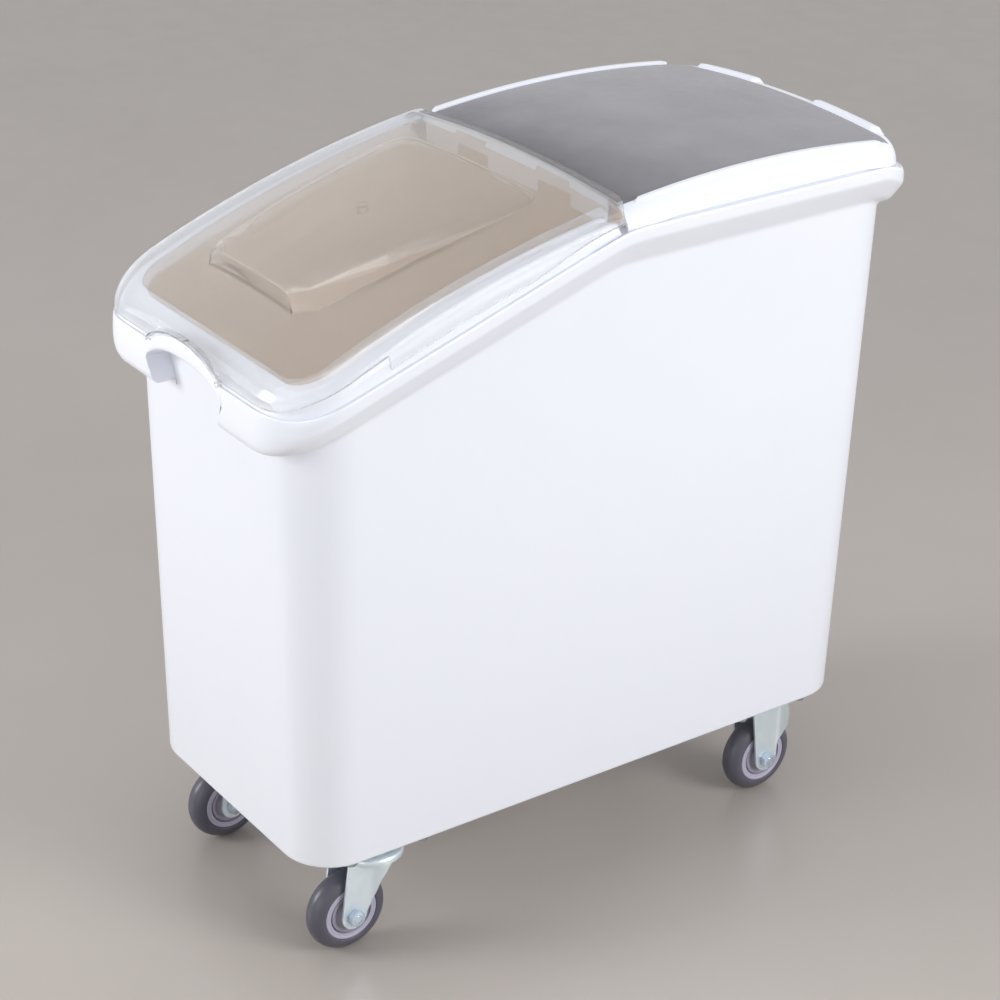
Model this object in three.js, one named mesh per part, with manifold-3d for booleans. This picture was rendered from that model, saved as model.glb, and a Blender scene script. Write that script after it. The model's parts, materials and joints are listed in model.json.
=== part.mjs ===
// A slant-front storage bin on four casters, with a fixed rear lid and a clear front lid
// that slides back over it along an arc. Millimetres, +Z up, front towards -Y,
// origin on the floor under the middle of the rim.

import * as THREE from 'three';
import { mergeVertices } from 'three/addons/utils/BufferGeometryUtils.js';
import Module from 'manifold-3d';

const wasm = await Module();
wasm.setup();

// Clearances shared by all pieces, and how far cutting solids run past what they cut
const gap = 0.3;
const overrun = 30;

// Rim of the bin, and the walls and floor inside it
const underside = 115;
const rimHalfWidth = 174;
const rimHalfLength = 344;
const rimCorner = 61;
const floorSideInset = 25;
const floorFrontInset = 31.2;
const floorRearInset = 26.2;
const floorCorner = 48;
const wallTopSideInset = 17.1;
const wallTopFrontInset = 20.8;
const wallTopRearInset = 15.5;
const wallTopCorner = 58;
const wallTopDrop = 47.6;
const wall = 4;
const floorThickness = 6;
const floorEdgeRound = 7;
const floorRoundShare = 0.3;

// The arc that the shelf, both lids and the slide follow, about an axis along X
const shelfPeak = 687.6;
const shelfRadius = 1110;
const arcCentreY = 171.3;
const arcCentreZ = shelfPeak - shelfRadius;
const topZ = shelfPeak + 4 * overrun;

// The ledge that runs round the rim below the arc: a slope in front, level behind
const slopeAnchorY = -60;
const slopeAnchorDrop = 13.23;
const slopeFrontDrop = 5.88;
const levelAnchorY = 24;
const levelAnchorDrop = 9.18;
const levelRiseShare = 0.014;
const bendSoftness = 4;
const rearDrop = 12;
const rearDropRun = 59;
const rearDropInset = 2;

// Band under the ledge: how far it stands out, and its profile from the foot up,
// as shares of the overhang and of the height
const bandHeight = 12;
const bandOverhang = 12;
const bandRunout = 25;
const footDropShare = 0.25;
const bandShares = [[1, -1.5], [0.5, -0.75], [0.125, -0.167], [0, 0.083], [0, 0.833], [0.058, 1]];
const bandInsideShares = [[0.833, -1.333], [0.208, -0.333], [0.017, 0], [0.033, 0.333]];

// Gutter inside the ledge, the shoulder beside it and the shelf round the mouth
const gutterDepth = 12.6;
const gutterStep = 0.6;
const gutterOuterInset = 2.1;
const gutterInnerInset = 5.2;
const gutterRearShift = 3.8;
const shoulderDrop = 6;
const shoulderWidth = 5;
const shoulderRoundShare = 0.4;
const shelfRound = 1.5;
const mouthInset = 34;
const mouthHalfWidth = rimHalfWidth - mouthInset;
const seatRise = 1.2;

// Front fascia, which rises in the middle under the arch of the clear lid
const fasciaDrop = 2.55;
const fasciaHeight = 39.4;
const fasciaOverhang = 12;
const fasciaRaise = 20.5;
const fasciaShares = [[1, 0], [0.25, 0.025], [0, 0.19], [0, 0.546], [0.067, 0.797], [0.133, 0.949]];
const fasciaInsideShares = [[0.667, 0.102], [0.033, 0.216], [0, 0.546], [0.05, 0.746]];
const fasciaFootLift = 2;

// Finger recess in the fascia
const recessHalfWidth = 62;
const recessShoulderRise = 23.5;
const recessApexRise = 38.5;
const recessWall = 3.6;
const recessBendShare = 0.72;

// Rolled rim behind
const rearSeatDrop = 1.64;
const bulgeHeight = 39.4;
const bulgeOverhang = 9;
const bulgeShares = [[1, 0.05], [0.39, 0.228], [0.056, 0.431], [0, 0.558], [0.111, 0.822], [0.389, 0.975]];
const bulgeInsideShares = [[0.889, 0.178], [0.167, 0.406], [0, 0.558], [0.067, 0.746]];

// Underside of the shelf and the gutter, as shares of the wall: its inset past the edge above,
// then its depth at the sides, in front and behind
const shoulderUnderShares = [0.95, 1.15, 1.15, 1.15];
const cornerUnderShares = [1.1, 1.75, 1.5, 1.4];
const gutterUnderShares = [1.1, 1.25, 1, 1.25];

// Seam between the lids
const seamY = -5;
const seamRamp = 5;

// Rear lid: its crowned panel and rounded shoulder
const rearLidInset = 5.2;
const rearLidRearInset = 11.5;
const rearLidCorner = 52;
const rearLidWall = 2.6;
const panelRise = 16.7;
const panelFall = 7.6;
const rearShoulderWidth = 19;
const rearShoulderDepth = 22;
const rearShoulderShares = [[0, 1], [0.042, 0.636], [0.2, 0.323], [0.42, 0.105], [1, 0]];
const crownShares = [0.36, 0.75];

// Rails on the rear lid, and the stop ribs behind them
const railRise = 10.5;
const railInset = 11.6;
const railWidth = 6.7;
const railFront = 12;
const railRearInset = 38.5;
const ribHeight = 5;
const ribFrontInset = 23.5;
const ribRearInset = 10.5;
const ribSideInset = 12;
const ribGapShare = 0.3125;
const ribRound = 2;

// Notched flange in front of the rear lid, and the plug that sits in the mouth
const flangeThickness = 2.8;
const flangeDrop = 11;
const notchHeight = 11.5;
const notchInnerShare = 0.273;
const notchOuterShare = 0.618;
const plugInset = 0.8;
const plugWall = 2.4;
const plugDepth = 8;

// Clear front lid: its crown, shoulder and skirt
const clearInset = 2.5;
const clearCorner = 58.5;
const clearWall = 2.4;
const clearRise = 22;
const clearFall = 7;
const clearFallShare = 0.904;
const clearOverlap = 9;
const clearShoulderWidth = 22;
const clearShoulderDepth = 15;
const clearShoulderShares = [[0, 1], [0.027, 0.733], [0.118, 0.467], [0.318, 0.2], [0.636, 0.04], [1, 0]];
const skirtFrontRise = 3;
const skirtCornerRise = 0.6;

// Guide lips that hang into the gutter from the sides of the clear lid
const lipClearance = 0.5;
const lipFrontInset = 96.5;
const lipFrontSlope = 4;
const lipLevelShare = 0.49;
const lipRearInset = 17;
const lipMiddleRise = 8;
const lipRearRise = 12.6;
const lipEndRise = 13.4;

// Arch of the clear lid over the raised fascia, with a small pull lip along it
const archRise = 20;
const archBendShare = 0.6;
const pullLipHeight = 2.4;

// Raised thumb grip on the clear lid
const gripFrontInset = 63.5;
const gripRearInset = 45;
const gripFrontHalf = 70;
const gripRearHalf = 104;
const gripRise = 14;
const gripSink = 2;
const gripCorner = 26;
const gripCornerBulge = 2;
const gripSteps = 8;

// Wheels
const wheelRadius = 40;
const treadWidth = 26;
const treadCrown = 6;
const treadRound = 2;
const treadFlatShare = 0.35;
const treadCrownShare = 0.6;
const treadDepth = 10;
const hubWidth = 22;
const hubRecess = 3;
const hubRimWidth = 8;
const hubBoss = 6;
const boreRadius = 6.5;
const sleeveRadius = 6.2;
const sleeveBore = 4.5;
const sleeveLength = 29;
const axleRadius = 4.2;
const hexAcross = 13;
const hexThickness = 6;
const hexHeadShare = 0.7;

// Forks and plates
const legThickness = 2.5;
const legClear = 14.8;
const legTipRadius = 13;
const legTopHalf = 23;
const weldDepth = 1;
const plateLength = 100;
const plateWidth = 76;
const plateThickness = 3;
const plateCorner = 8;
const boltAlong = 76;
const boltAcross = 54;
const plateBoltRadius = 3.4;
const plateBoltHole = 3.8;
const plateBoltAcross = 11;
const plateBoltHead = 4.5;
const plateBoltGrip = 4;
const wheelSideInset = 38.5;
const frontSwivelInset = 84.8;
const frontTrail = 27.8;
const rearAxleInset = 78.3;
const rearPlateShift = 10;

// Swivels
const raceRadius = 27;
const raceHeight = 6.5;
const raceRound = 1.5;
const raceTaper = 3;
const racePan = 6;
const racePanRise = 2;
const ringRadius = 23;
const ringHeight = 2.6;
const crownThickness = 3;
const crownRadius = 25;
const bridgeFrontReach = 8;
const bridgeRearInset = 4;
const kingpinRadius = 6;
const kingpinHead = 9.5;
const kingpinHeadHeight = 3;

// Facets
const cornerSteps = 4;
const roundSteps = 16;
const pinSteps = 12;
const boreSteps = 14;
const holeSteps = 8;
const tipSteps = 6;
const plateCornerSteps = 4;
const curveSteps = 8;
const arcSteps = 20;
const lipSteps = 8;
const sideShares = [-0.68, -0.51, -0.34, -0.17, 0.11, 0.28, 0.46, 0.66];
const endShares = [0.58, 0.36, 0.13, -0.13, -0.36, -0.58];

// Booleans between closed solids
function solid(geometry) {
  const bare = new THREE.BufferGeometry();
  bare.setAttribute('position', geometry.getAttribute('position'));
  bare.setIndex(geometry.getIndex());
  const welded = mergeVertices(bare, 1e-3);
  return new wasm.Manifold(new wasm.Mesh({
    numProp: 3,
    vertProperties: new Float32Array(welded.getAttribute('position').array),
    triVerts: new Uint32Array(welded.getIndex().array),
  }));
}

function surface(manifold) {
  const mesh = manifold.getMesh();
  const geometry = new THREE.BufferGeometry();
  geometry.setAttribute('position', new THREE.BufferAttribute(new Float32Array(mesh.vertProperties), 3));
  geometry.setIndex(new THREE.BufferAttribute(new Uint32Array(mesh.triVerts), 1));
  geometry.computeVertexNormals();
  return geometry;
}

const cut = (body, ...tools) => tools.reduce((left, tool) => left.subtract(tool), body);
const join = (body, ...more) => more.reduce((left, piece) => left.add(piece), body);

// Heights along the bin
function arcHeight(y, radius = shelfRadius) {
  return arcCentreZ + Math.sqrt(radius ** 2 - (y - arcCentreY) ** 2);
}

const softMin = (a, b) => (a + b - Math.hypot(a - b, bendSoftness)) / 2;
const ease = (t) => THREE.MathUtils.smoothstep(t, 0, 1);

const slopeTop = arcHeight(slopeAnchorY) - slopeAnchorDrop;
const slopeFoot = arcHeight(-rimHalfLength) - slopeFrontDrop;
const levelStart = arcHeight(levelAnchorY) - levelAnchorDrop;
const rearDropStart = rimHalfLength - rearDropRun;
const rearDropEnd = rimHalfLength - rearDropInset;

function ledgeHeight(y) {
  const slope = THREE.MathUtils.mapLinear(y, -rimHalfLength, slopeAnchorY, slopeFoot, slopeTop);
  const level = levelStart + levelRiseShare * (y - levelAnchorY);
  return softMin(slope, level) - rearDrop * ease((y - rearDropStart) / (rearDropEnd - rearDropStart));
}

const gutterRadius = shelfRadius - gutterDepth;
const gutterHeight = (y) => Math.min(ledgeHeight(y) - gutterStep, arcHeight(y, gutterRadius));
const bandFoot = (y) => ledgeHeight(y) - bandHeight;
const wallTop = shelfPeak - wallTopDrop;
const fasciaTop = arcHeight(gutterInnerInset - rimHalfLength) - fasciaDrop;
const fasciaBottom = fasciaTop - fasciaHeight;
const rearSeat = ledgeHeight(rimHalfLength) - rearSeatDrop;
const bulgeFoot = rearSeat - bulgeHeight;

// The fascia's height at a share of it, raised towards the middle of the bin
const fasciaRaiseAt = (x) => fasciaRaise * Math.max(0, 1 - (x / recessHalfWidth) ** 2);
const fasciaLine = (share) => (y, x) => fasciaBottom + share * (fasciaHeight + fasciaRaiseAt(x));
const fasciaInside = (share) => () => fasciaBottom + share * fasciaHeight;

// Share of the way from the open mouth in front to the seat of the rear lid
const seatShare = (y) => ease((y - (seamY - gap - 2 * seamRamp)) / seamRamp);

// A closed plan outline: straight sides with rounded corners, as points with their normals.
// The points of the long sides keep their places, or follow a span when one is given.
function outline({ halfX, front, rear, radius, span }) {
  const cornerX = halfX - radius;
  const points = [];
  const corner = (sx, y, turn) => {
    for (let i = 0; i <= cornerSteps; i += 1) {
      const angle = (turn + i / cornerSteps) * Math.PI / 2;
      const nx = Math.cos(angle);
      const ny = Math.sin(angle);
      points.push({ x: sx * cornerX + radius * nx, y: y + radius * ny, nx, ny });
    }
  };
  const rearY = rear - radius;
  const frontY = radius - front;
  const stations = sideShares.map((share) => share * rimHalfLength);
  stations.push(seamY - gap - 2 * seamRamp, seamY - gap - seamRamp);
  stations.sort((a, b) => a - b);
  const [spanFront, spanRear] = span ?? [frontY, rearY];
  const inside = stations.filter((y) => y > spanFront && y < spanRear)
    .map((y) => THREE.MathUtils.mapLinear(y, spanFront, spanRear, frontY, rearY));
  inside.forEach((y) => points.push({ x: halfX, y, nx: 1, ny: 0 }));
  corner(1, rearY, 0);
  endShares.forEach((share) => points.push({ x: share * cornerX, y: rear, nx: 0, ny: 1 }));
  corner(-1, rearY, 1);
  [...inside].reverse().forEach((y) => points.push({ x: -halfX, y, nx: -1, ny: 0 }));
  corner(-1, frontY, 2);
  endShares.forEach((share) => points.push({ x: -share * cornerX, y: -front, nx: 0, ny: -1 }));
  corner(1, frontY, 3);
  return points;
}

// A value taken from the sides, the front or the rear by where the outline faces
function facing({ ny }, side, front, rear) {
  const share = ny * ny;
  return side + share * ((ny < 0 ? front : rear) - side);
}

// A closed body through a stack of rings with equal point counts
function loft(rings) {
  const count = rings[0].length;
  const positions = rings.flat().flatMap((p) => [p.x, p.y, p.z]);
  const index = [];
  for (let r = 0; r < rings.length - 1; r += 1) {
    for (let i = 0; i < count; i += 1) {
      const a = r * count + i;
      const b = r * count + (i + 1) % count;
      index.push(a, b, a + count, b, b + count, a + count);
    }
  }
  const cap = (ring, offset, flip) => {
    const flat = ring.map((p) => new THREE.Vector2(p.x, p.y));
    THREE.ShapeUtils.triangulateShape(flat, []).forEach(([a, b, c]) => {
      index.push(offset + a, offset + (flip ? c : b), offset + (flip ? b : c));
    });
  };
  cap(rings[0], 0, true);
  cap(rings[rings.length - 1], (rings.length - 1) * count, false);
  const geometry = new THREE.BufferGeometry();
  geometry.setAttribute('position', new THREE.Float32BufferAttribute(positions, 3));
  geometry.setIndex(index);
  return solid(geometry);
}

// A profile in the YZ plane, run across the bin from one x to another
function acrossX(points, fromX, toX) {
  const shape = new THREE.Shape(points.map(([y, z]) => new THREE.Vector2(y, z)));
  const geometry = new THREE.ExtrudeGeometry(shape, { depth: toX - fromX, bevelEnabled: false });
  geometry.applyMatrix4(new THREE.Matrix4().makeBasis(
    new THREE.Vector3(0, 1, 0),
    new THREE.Vector3(0, 0, 1),
    new THREE.Vector3(1, 0, 0),
  ));
  geometry.translate(fromX, 0, 0);
  return solid(geometry);
}

// A profile in the XZ plane, run along the bin from one y to another
function alongY(shape, fromY, toY) {
  const depth = toY - fromY;
  const geometry = new THREE.ExtrudeGeometry(shape, { depth, bevelEnabled: false, curveSegments: curveSteps });
  geometry.rotateX(Math.PI / 2);
  geometry.translate(0, toY, 0);
  return solid(geometry);
}

// A plan profile, raised from one height to another
function upright(shape, fromZ, toZ, curveSegments = curveSteps) {
  const geometry = new THREE.ExtrudeGeometry(shape, { depth: toZ - fromZ, bevelEnabled: false, curveSegments });
  geometry.translate(0, 0, fromZ);
  return solid(geometry);
}

function block(x0, x1, y0, y1, z0, z1) {
  const geometry = new THREE.BoxGeometry(x1 - x0, y1 - y0, z1 - z0);
  geometry.translate((x0 + x1) / 2, (y0 + y1) / 2, (z0 + z1) / 2);
  return solid(geometry);
}

// Points of an arc about the slide axis, in order of y
function arcPoints(radius, fromY, toY, steps = arcSteps) {
  return Array.from({ length: steps + 1 }, (unused, i) => {
    const y = fromY + (toY - fromY) * i / steps;
    return [y, arcHeight(y, radius)];
  });
}

// The bin: one wall that runs up, out round the rim, over the shelf and back down inside
const wallSize = (z, inset = 0) => {
  const share = (z - underside) / (wallTop - underside);
  const between = (floorInset, topInset) => THREE.MathUtils.lerp(floorInset, topInset, share) + inset;
  return {
    halfX: rimHalfWidth - between(floorSideInset, wallTopSideInset),
    front: rimHalfLength - between(floorFrontInset, wallTopFrontInset),
    rear: rimHalfLength - between(floorRearInset, wallTopRearInset),
    radius: THREE.MathUtils.lerp(floorCorner, wallTopCorner, share) - inset,
  };
};

const levelRing = (z, inset = 0) => outline(wallSize(z, inset)).map((p) => ({ ...p, z }));

// Where the wall meets the foot of the band, the fascia and the rolled rim
function wallFoot(inset, front, rear) {
  const top = wallSize(wallTop, inset);
  return outline(top).map((p) => {
    const z = facing(p, bandFoot(p.y) - bandRunout - footDropShare * inset, front, rear);
    const size = wallSize(z, inset);
    const lengthShare = p.y < 0 ? size.front / top.front : size.rear / top.rear;
    return { ...p, x: p.x * size.halfX / top.halfX, y: p.ny === 0 ? p.y : p.y * lengthShare, z };
  });
}

// A ring round the rim: an inset and a height for the sides, the front and the rear
function rimRing(side, front, rear) {
  const [sideInset, sideHeight] = side;
  const [frontInset, frontHeight] = front;
  const [rearInset, rearHeight] = rear;
  const points = outline({
    halfX: rimHalfWidth - sideInset,
    front: rimHalfLength - sideInset,
    rear: rimHalfLength - sideInset,
    radius: rimCorner - Math.min(sideInset, (frontInset + rearInset) / 2),
  });
  return points.map((p) => {
    const shift = p.ny < 0 ? frontInset - sideInset : sideInset - rearInset;
    const y = p.y + p.ny * p.ny * shift;
    return { ...p, y, z: facing(p, sideHeight(y), frontHeight(y, p.x), rearHeight(y)) };
  });
}

// The profiles of the band, the fascia and the rolled rim, as rings at a depth under the skin
function bandRings(depth, band, fascia, bulge) {
  const frontLine = depth > 0 ? fasciaInside : fasciaLine;
  return band.map(([inset, rise], i) => rimRing(
    [depth + inset * bandOverhang, (y) => bandFoot(y) + rise * bandHeight],
    [depth + fascia[i][0] * fasciaOverhang, frontLine(fascia[i][1])],
    [depth + bulge[i][0] * bulgeOverhang, () => bulgeFoot + bulge[i][1] * bulgeHeight],
  ));
}

// The shelf a given drop below its top: on the arc in front, level under the rear lid
const shelf = (drop) => (y) => THREE.MathUtils.lerp(
  arcHeight(y, shelfRadius - drop),
  gutterHeight(y) + seatRise * (1 - drop / (shoulderDrop + seatRise)),
  seatShare(y),
);
const rearShelf = (drop) => () => rearSeat + seatRise * (1 - drop / (shoulderDrop + seatRise));
const under = (drop) => (y) => shelf(0)(y) - drop;
const rearUnder = (drop) => () => rearSeat + seatRise - drop;

function shelfRing(inset, drop, rearShift = 0) {
  const line = [inset, shelf(drop)];
  return rimRing(line, line, [inset + rearShift, rearShelf(drop)]);
}

function gutterRing(inset, sideHeight, frontLift, rearLift) {
  return rimRing(
    [inset, sideHeight],
    [inset, (y, x) => fasciaLine(1)(y, x) + frontLift],
    [inset + gutterRearShift, () => rearSeat + rearLift],
  );
}

function underRing(edge, [insetShare, sideShare, frontShare, rearShare]) {
  const inset = edge + insetShare * wall;
  return rimRing(
    [inset, under(sideShare * wall)],
    [inset, under(frontShare * wall)],
    [inset + gutterRearShift, rearUnder(rearShare * wall)],
  );
}

function outerRings() {
  const shoulderInset = gutterInnerInset + shoulderWidth;
  return [
    levelRing(underside, floorEdgeRound),
    levelRing(underside + floorEdgeRound * floorRoundShare, floorEdgeRound * floorRoundShare),
    levelRing(underside + floorEdgeRound),
    wallFoot(0, fasciaBottom + fasciaFootLift, bulgeFoot),
    ...bandRings(0, bandShares, fasciaShares, bulgeShares),
    gutterRing(gutterOuterInset, ledgeHeight, gutterStep, gutterStep),
    gutterRing(gutterOuterInset, gutterHeight, 0, 0),
    gutterRing(gutterInnerInset, gutterHeight, 0, 0),
    rimRing([gutterInnerInset, shelf(shoulderDrop)], [gutterInnerInset, () => fasciaTop + gutterStep],
      [gutterInnerInset + gutterRearShift, rearShelf(shoulderDrop)]),
    shelfRing(gutterInnerInset + shoulderRoundShare * shoulderWidth, shelfRound, gutterRearShift),
    shelfRing(shoulderInset, 0, gutterRearShift),
    shelfRing(mouthInset - shelfRound, 0),
    shelfRing(mouthInset, shelfRound),
  ];
}

function innerRings() {
  const [gutterInset, gutterSide, gutterFront, gutterRear] = gutterUnderShares;
  const gutterInside = gutterInnerInset + gutterInset * wall;
  const mouthLine = [mouthInset, under(wall)];
  return [
    rimRing(mouthLine, mouthLine, [mouthInset, rearUnder(wall)]),
    underRing(gutterInnerInset + shoulderWidth, shoulderUnderShares),
    underRing(gutterInnerInset, cornerUnderShares),
    rimRing(
      [gutterInside, (y) => gutterHeight(y) - gutterSide * wall],
      [gutterInside - gutterOuterInset, () => fasciaTop - gutterFront * wall],
      [gutterInside, () => rearSeat - gutterRear * wall],
    ),
    ...bandRings(wall, bandInsideShares, fasciaInsideShares, bulgeInsideShares).reverse(),
    wallFoot(wall, fasciaBottom + fasciaFootLift, bulgeFoot + fasciaFootLift),
    levelRing(underside + floorThickness + floorEdgeRound, wall),
    levelRing(underside + floorThickness, wall + floorEdgeRound),
  ];
}

// The arched recess for fingers under the fascia, as a profile grown by a margin
function recessArch(grow) {
  const shape = new THREE.Shape();
  const half = recessHalfWidth + grow;
  const apex = fasciaBottom + recessApexRise + grow;
  const shoulder = fasciaBottom + recessShoulderRise;
  const bend = half * recessBendShare;
  shape.moveTo(-half, fasciaBottom - overrun);
  shape.lineTo(half, fasciaBottom - overrun);
  shape.lineTo(half, shoulder);
  shape.quadraticCurveTo(bend, apex, 0, apex);
  shape.quadraticCurveTo(-bend, apex, -half, shoulder);
  return shape;
}

function binBody() {
  const outer = outerRings();
  const recessBack = wallSize(fasciaBottom).front;
  const pocket = alongY(recessArch(recessWall), -rimHalfLength, wall - recessBack)
    .intersect(block(-rimHalfWidth, rimHalfWidth, -rimHalfLength, 0, fasciaBottom - wall, topZ))
    .intersect(loft(outer));
  const fingers = alongY(recessArch(0), -rimHalfLength - overrun, -recessBack);
  return cut(join(loft([...outer, ...innerRings()]), pocket), fingers, ...boltHoles());
}

// Lids: a crowned cap with a rounded shoulder, as a solid reaching down to a flat
function capSolid(cap) {
  const { halfX, front, rear, radius, crown, fall, fallAt, shoulderWidth, shoulderDepth, shares, base } = cap;
  const crownRadius = (x) => crown - fall * (x / fallAt) ** 2;
  const span = [radius - front, rear - radius];
  const rings = [outline({ halfX, front, rear, radius, span }).map((p) => ({ ...p, z: base }))];
  const shoulder = shares.map(([insetShare, dropShare]) => [insetShare * shoulderWidth, dropShare * shoulderDepth]);
  const crownLines = crownShares.map((share) => [share * halfX, 0]);
  [...shoulder, ...crownLines].forEach(([inset, drop]) => {
    const size = {
      span,
      halfX: halfX - inset,
      front: front - inset,
      rear: rear - inset,
      radius: Math.max(radius - inset, 1),
    };
    rings.push(outline(size).map((p) => ({ ...p, z: arcHeight(p.y, crownRadius(p.x) - drop) })));
  });
  return loft(rings);
}

// The hollow under a cap, a wall's thickness inside it
const capHollow = (size, thickness) => capSolid({
  ...size,
  halfX: size.halfX - thickness,
  front: size.front - thickness,
  rear: size.rear - thickness,
  radius: size.radius - thickness,
  crown: size.crown - thickness,
  base: size.base - overrun,
});

const rearLidHalfWidth = rimHalfWidth - rearLidInset;
const rearLidRear = rimHalfLength - rearLidRearInset;
const panelCrownRadius = shelfRadius + panelRise;

// Rails for the sliding lid, on both sides of the rear lid
function rails() {
  const railRadius = shelfRadius + railRise;
  const railRear = rearLidRear - railRearInset;
  const outerX = rearLidHalfWidth - railInset;
  const upper = arcPoints(railRadius, railFront, railRear);
  const lower = arcPoints(railRadius - 2 * rearLidWall, railFront, railRear).reverse();
  const profile = [...upper, ...lower].reverse();
  return [acrossX(profile, outerX - railWidth, outerX), acrossX(profile, -outerX, railWidth - outerX)];
}

// Stops that end the slide, behind the rails
function stopRibs() {
  const ribFront = rearLidRear - ribFrontInset;
  const ribRear = rearLidRear - ribRearInset;
  const foot = panelCrownRadius - panelFall;
  const profile = [
    [ribFront, arcHeight(ribFront, foot)],
    [ribRear, arcHeight(ribRear, foot - rearLidWall)],
    [ribRear - ribRound / 2, arcHeight(ribRear, panelCrownRadius + ribRound)],
    [(ribFront + ribRear) / 2, arcHeight(ribRear, panelCrownRadius + ribHeight)],
    [ribFront, arcHeight(ribFront, panelCrownRadius - ribRound / 2)],
  ];
  const outerX = mouthHalfWidth - ribSideInset;
  const innerX = ribGapShare * outerX;
  return [acrossX(profile, innerX, outerX), acrossX(profile, -outerX, -innerX)];
}

// Everything above the surface that the rear lid rests on
function aboveSeat() {
  const front = seamY - overrun;
  const rear = rearLidRear + overrun;
  const line = Array.from({ length: arcSteps + 1 }, (unused, i) => {
    const y = THREE.MathUtils.lerp(front, rear, i / arcSteps);
    return [y, Math.max(gutterHeight(y), rearSeat) + seatRise + gap];
  });
  return acrossX([...line, [rear, topZ], [front, topZ]], -rimHalfWidth, rimHalfWidth);
}

function rearLid() {
  const size = {
    halfX: rearLidHalfWidth,
    front: 2 * overrun,
    rear: rearLidRear,
    radius: rearLidCorner,
    crown: panelCrownRadius,
    fall: panelFall,
    fallAt: mouthHalfWidth,
    shoulderWidth: rearShoulderWidth,
    shoulderDepth: rearShoulderDepth,
    shares: rearShoulderShares,
    base: rearSeat - overrun,
  };
  const behindSeam = block(-rimHalfWidth, rimHalfWidth, seamY, rimHalfLength, 0, topZ);
  const filled = capSolid(size);
  const hollow = capHollow({ ...size, front: size.front + overrun }, rearLidWall);
  const shell = cut(filled, hollow).intersect(behindSeam).intersect(aboveSeat());

  // Front flange with two notches, and the plug that sits in the mouth
  const flangeBottom = arcHeight(seamY) - flangeDrop;
  const flangeHalf = mouthHalfWidth - plugInset;
  const flangeRear = seamY + flangeThickness;
  const flange = block(-flangeHalf, flangeHalf, seamY, flangeRear, flangeBottom, topZ).intersect(filled);
  const notchInner = notchInnerShare * flangeHalf;
  const notchOuter = notchOuterShare * flangeHalf;
  const notchTop = flangeBottom + notchHeight;
  const notch = (x0, x1) => block(x0, x1, seamY - gap, flangeRear + gap, flangeBottom - gap, notchTop);
  const plugBottom = rearSeat - plugDepth;
  const plugPlan = (inset) => new THREE.Shape(outline({
    halfX: mouthHalfWidth - plugInset - inset,
    front: 2 * overrun,
    rear: rimHalfLength - mouthInset - plugInset - inset,
    radius: rimCorner - mouthInset - inset,
  }).map((p) => new THREE.Vector2(p.x, p.y)));
  const plug = cut(
    upright(plugPlan(0), plugBottom, topZ),
    upright(plugPlan(plugWall), plugBottom - gap, topZ + gap),
  ).intersect(filled).intersect(behindSeam);
  return cut(
    join(shell, ...rails(), ...stopRibs(), flange, plug),
    notch(notchInner, notchOuter),
    notch(-notchOuter, -notchInner),
  );
}

const clearHalfWidth = rimHalfWidth - clearInset;
const clearFront = rimHalfLength - clearInset;
const clearRear = seamY + clearOverlap;
const clearCrownRadius = shelfRadius + clearRise;

// The lower edge of the clear lid: skirt in front, guide lips in the gutter, then clear of the rear lid
function clearLowerLine() {
  const lipRadius = gutterRadius + lipClearance;
  const lipFront = lipFrontInset - clearFront;
  const lipLevelEnd = lipLevelShare * lipFront;
  const lipRear = seamY - lipRearInset;
  return [
    [-clearFront - overrun, arcHeight(-clearFront, shelfRadius + skirtFrontRise)],
    ...arcPoints(shelfRadius + skirtCornerRise, clearWall - clearFront, lipFront - lipFrontSlope, lipSteps),
    ...arcPoints(lipRadius, lipFront, lipLevelEnd, lipSteps),
    [lipLevelEnd / 2, arcHeight(lipLevelEnd / 2, lipRadius + lipMiddleRise)],
    [lipRear, arcHeight(lipRear, lipRadius + lipRearRise)],
    [clearRear, arcHeight(clearRear, lipRadius + lipEndRise)],
  ];
}

// The arch over the fascia, as a profile grown by a margin
function lidArch(grow) {
  const foot = arcHeight(-clearFront, shelfRadius + skirtFrontRise);
  const shape = new THREE.Shape();
  const half = recessHalfWidth + grow;
  const apex = foot + archRise + grow;
  const bend = half * archBendShare;
  shape.moveTo(-half, foot - overrun);
  shape.lineTo(half, foot - overrun);
  shape.lineTo(half, foot);
  shape.quadraticCurveTo(bend, apex, 0, apex);
  shape.quadraticCurveTo(-bend, apex, -half, foot);
  return shape;
}

// Plan of the raised thumb grip, a given wall inside its outside
function gripPlan(inset) {
  const shape = new THREE.Shape();
  const frontHalf = gripFrontHalf - inset;
  const rearHalf = gripRearHalf - inset;
  const front = gripFrontInset - clearFront + inset;
  const rear = seamY - gripRearInset - inset;
  const bulge = rearHalf + gripCornerBulge;
  shape.moveTo(-frontHalf, front);
  shape.lineTo(frontHalf, front);
  shape.lineTo(rearHalf, rear - gripCorner);
  shape.quadraticCurveTo(bulge, rear, rearHalf - gripCorner, rear);
  shape.lineTo(gripCorner - rearHalf, rear);
  shape.quadraticCurveTo(-bulge, rear, -rearHalf, rear - gripCorner);
  return shape;
}

// Side view of the grip: a ramp that ends in an upright face at its front
function gripSide(drop) {
  const front = gripFrontInset - clearFront - overrun / gripSteps;
  const rear = seamY - gripRearInset;
  const top = Array.from({ length: gripSteps + 1 }, (unused, i) => {
    const y = THREE.MathUtils.lerp(front, rear, i / gripSteps);
    const rise = gripRise * (rear - y) / (rear - front);
    return [y, arcHeight(y, clearCrownRadius - gripSink + rise - drop)];
  });
  const base = top.map(([y]) => [y, arcHeight(y, clearCrownRadius - overrun)]).reverse();
  return acrossX([...top, ...base].reverse(), -rimHalfWidth, rimHalfWidth);
}

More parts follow.
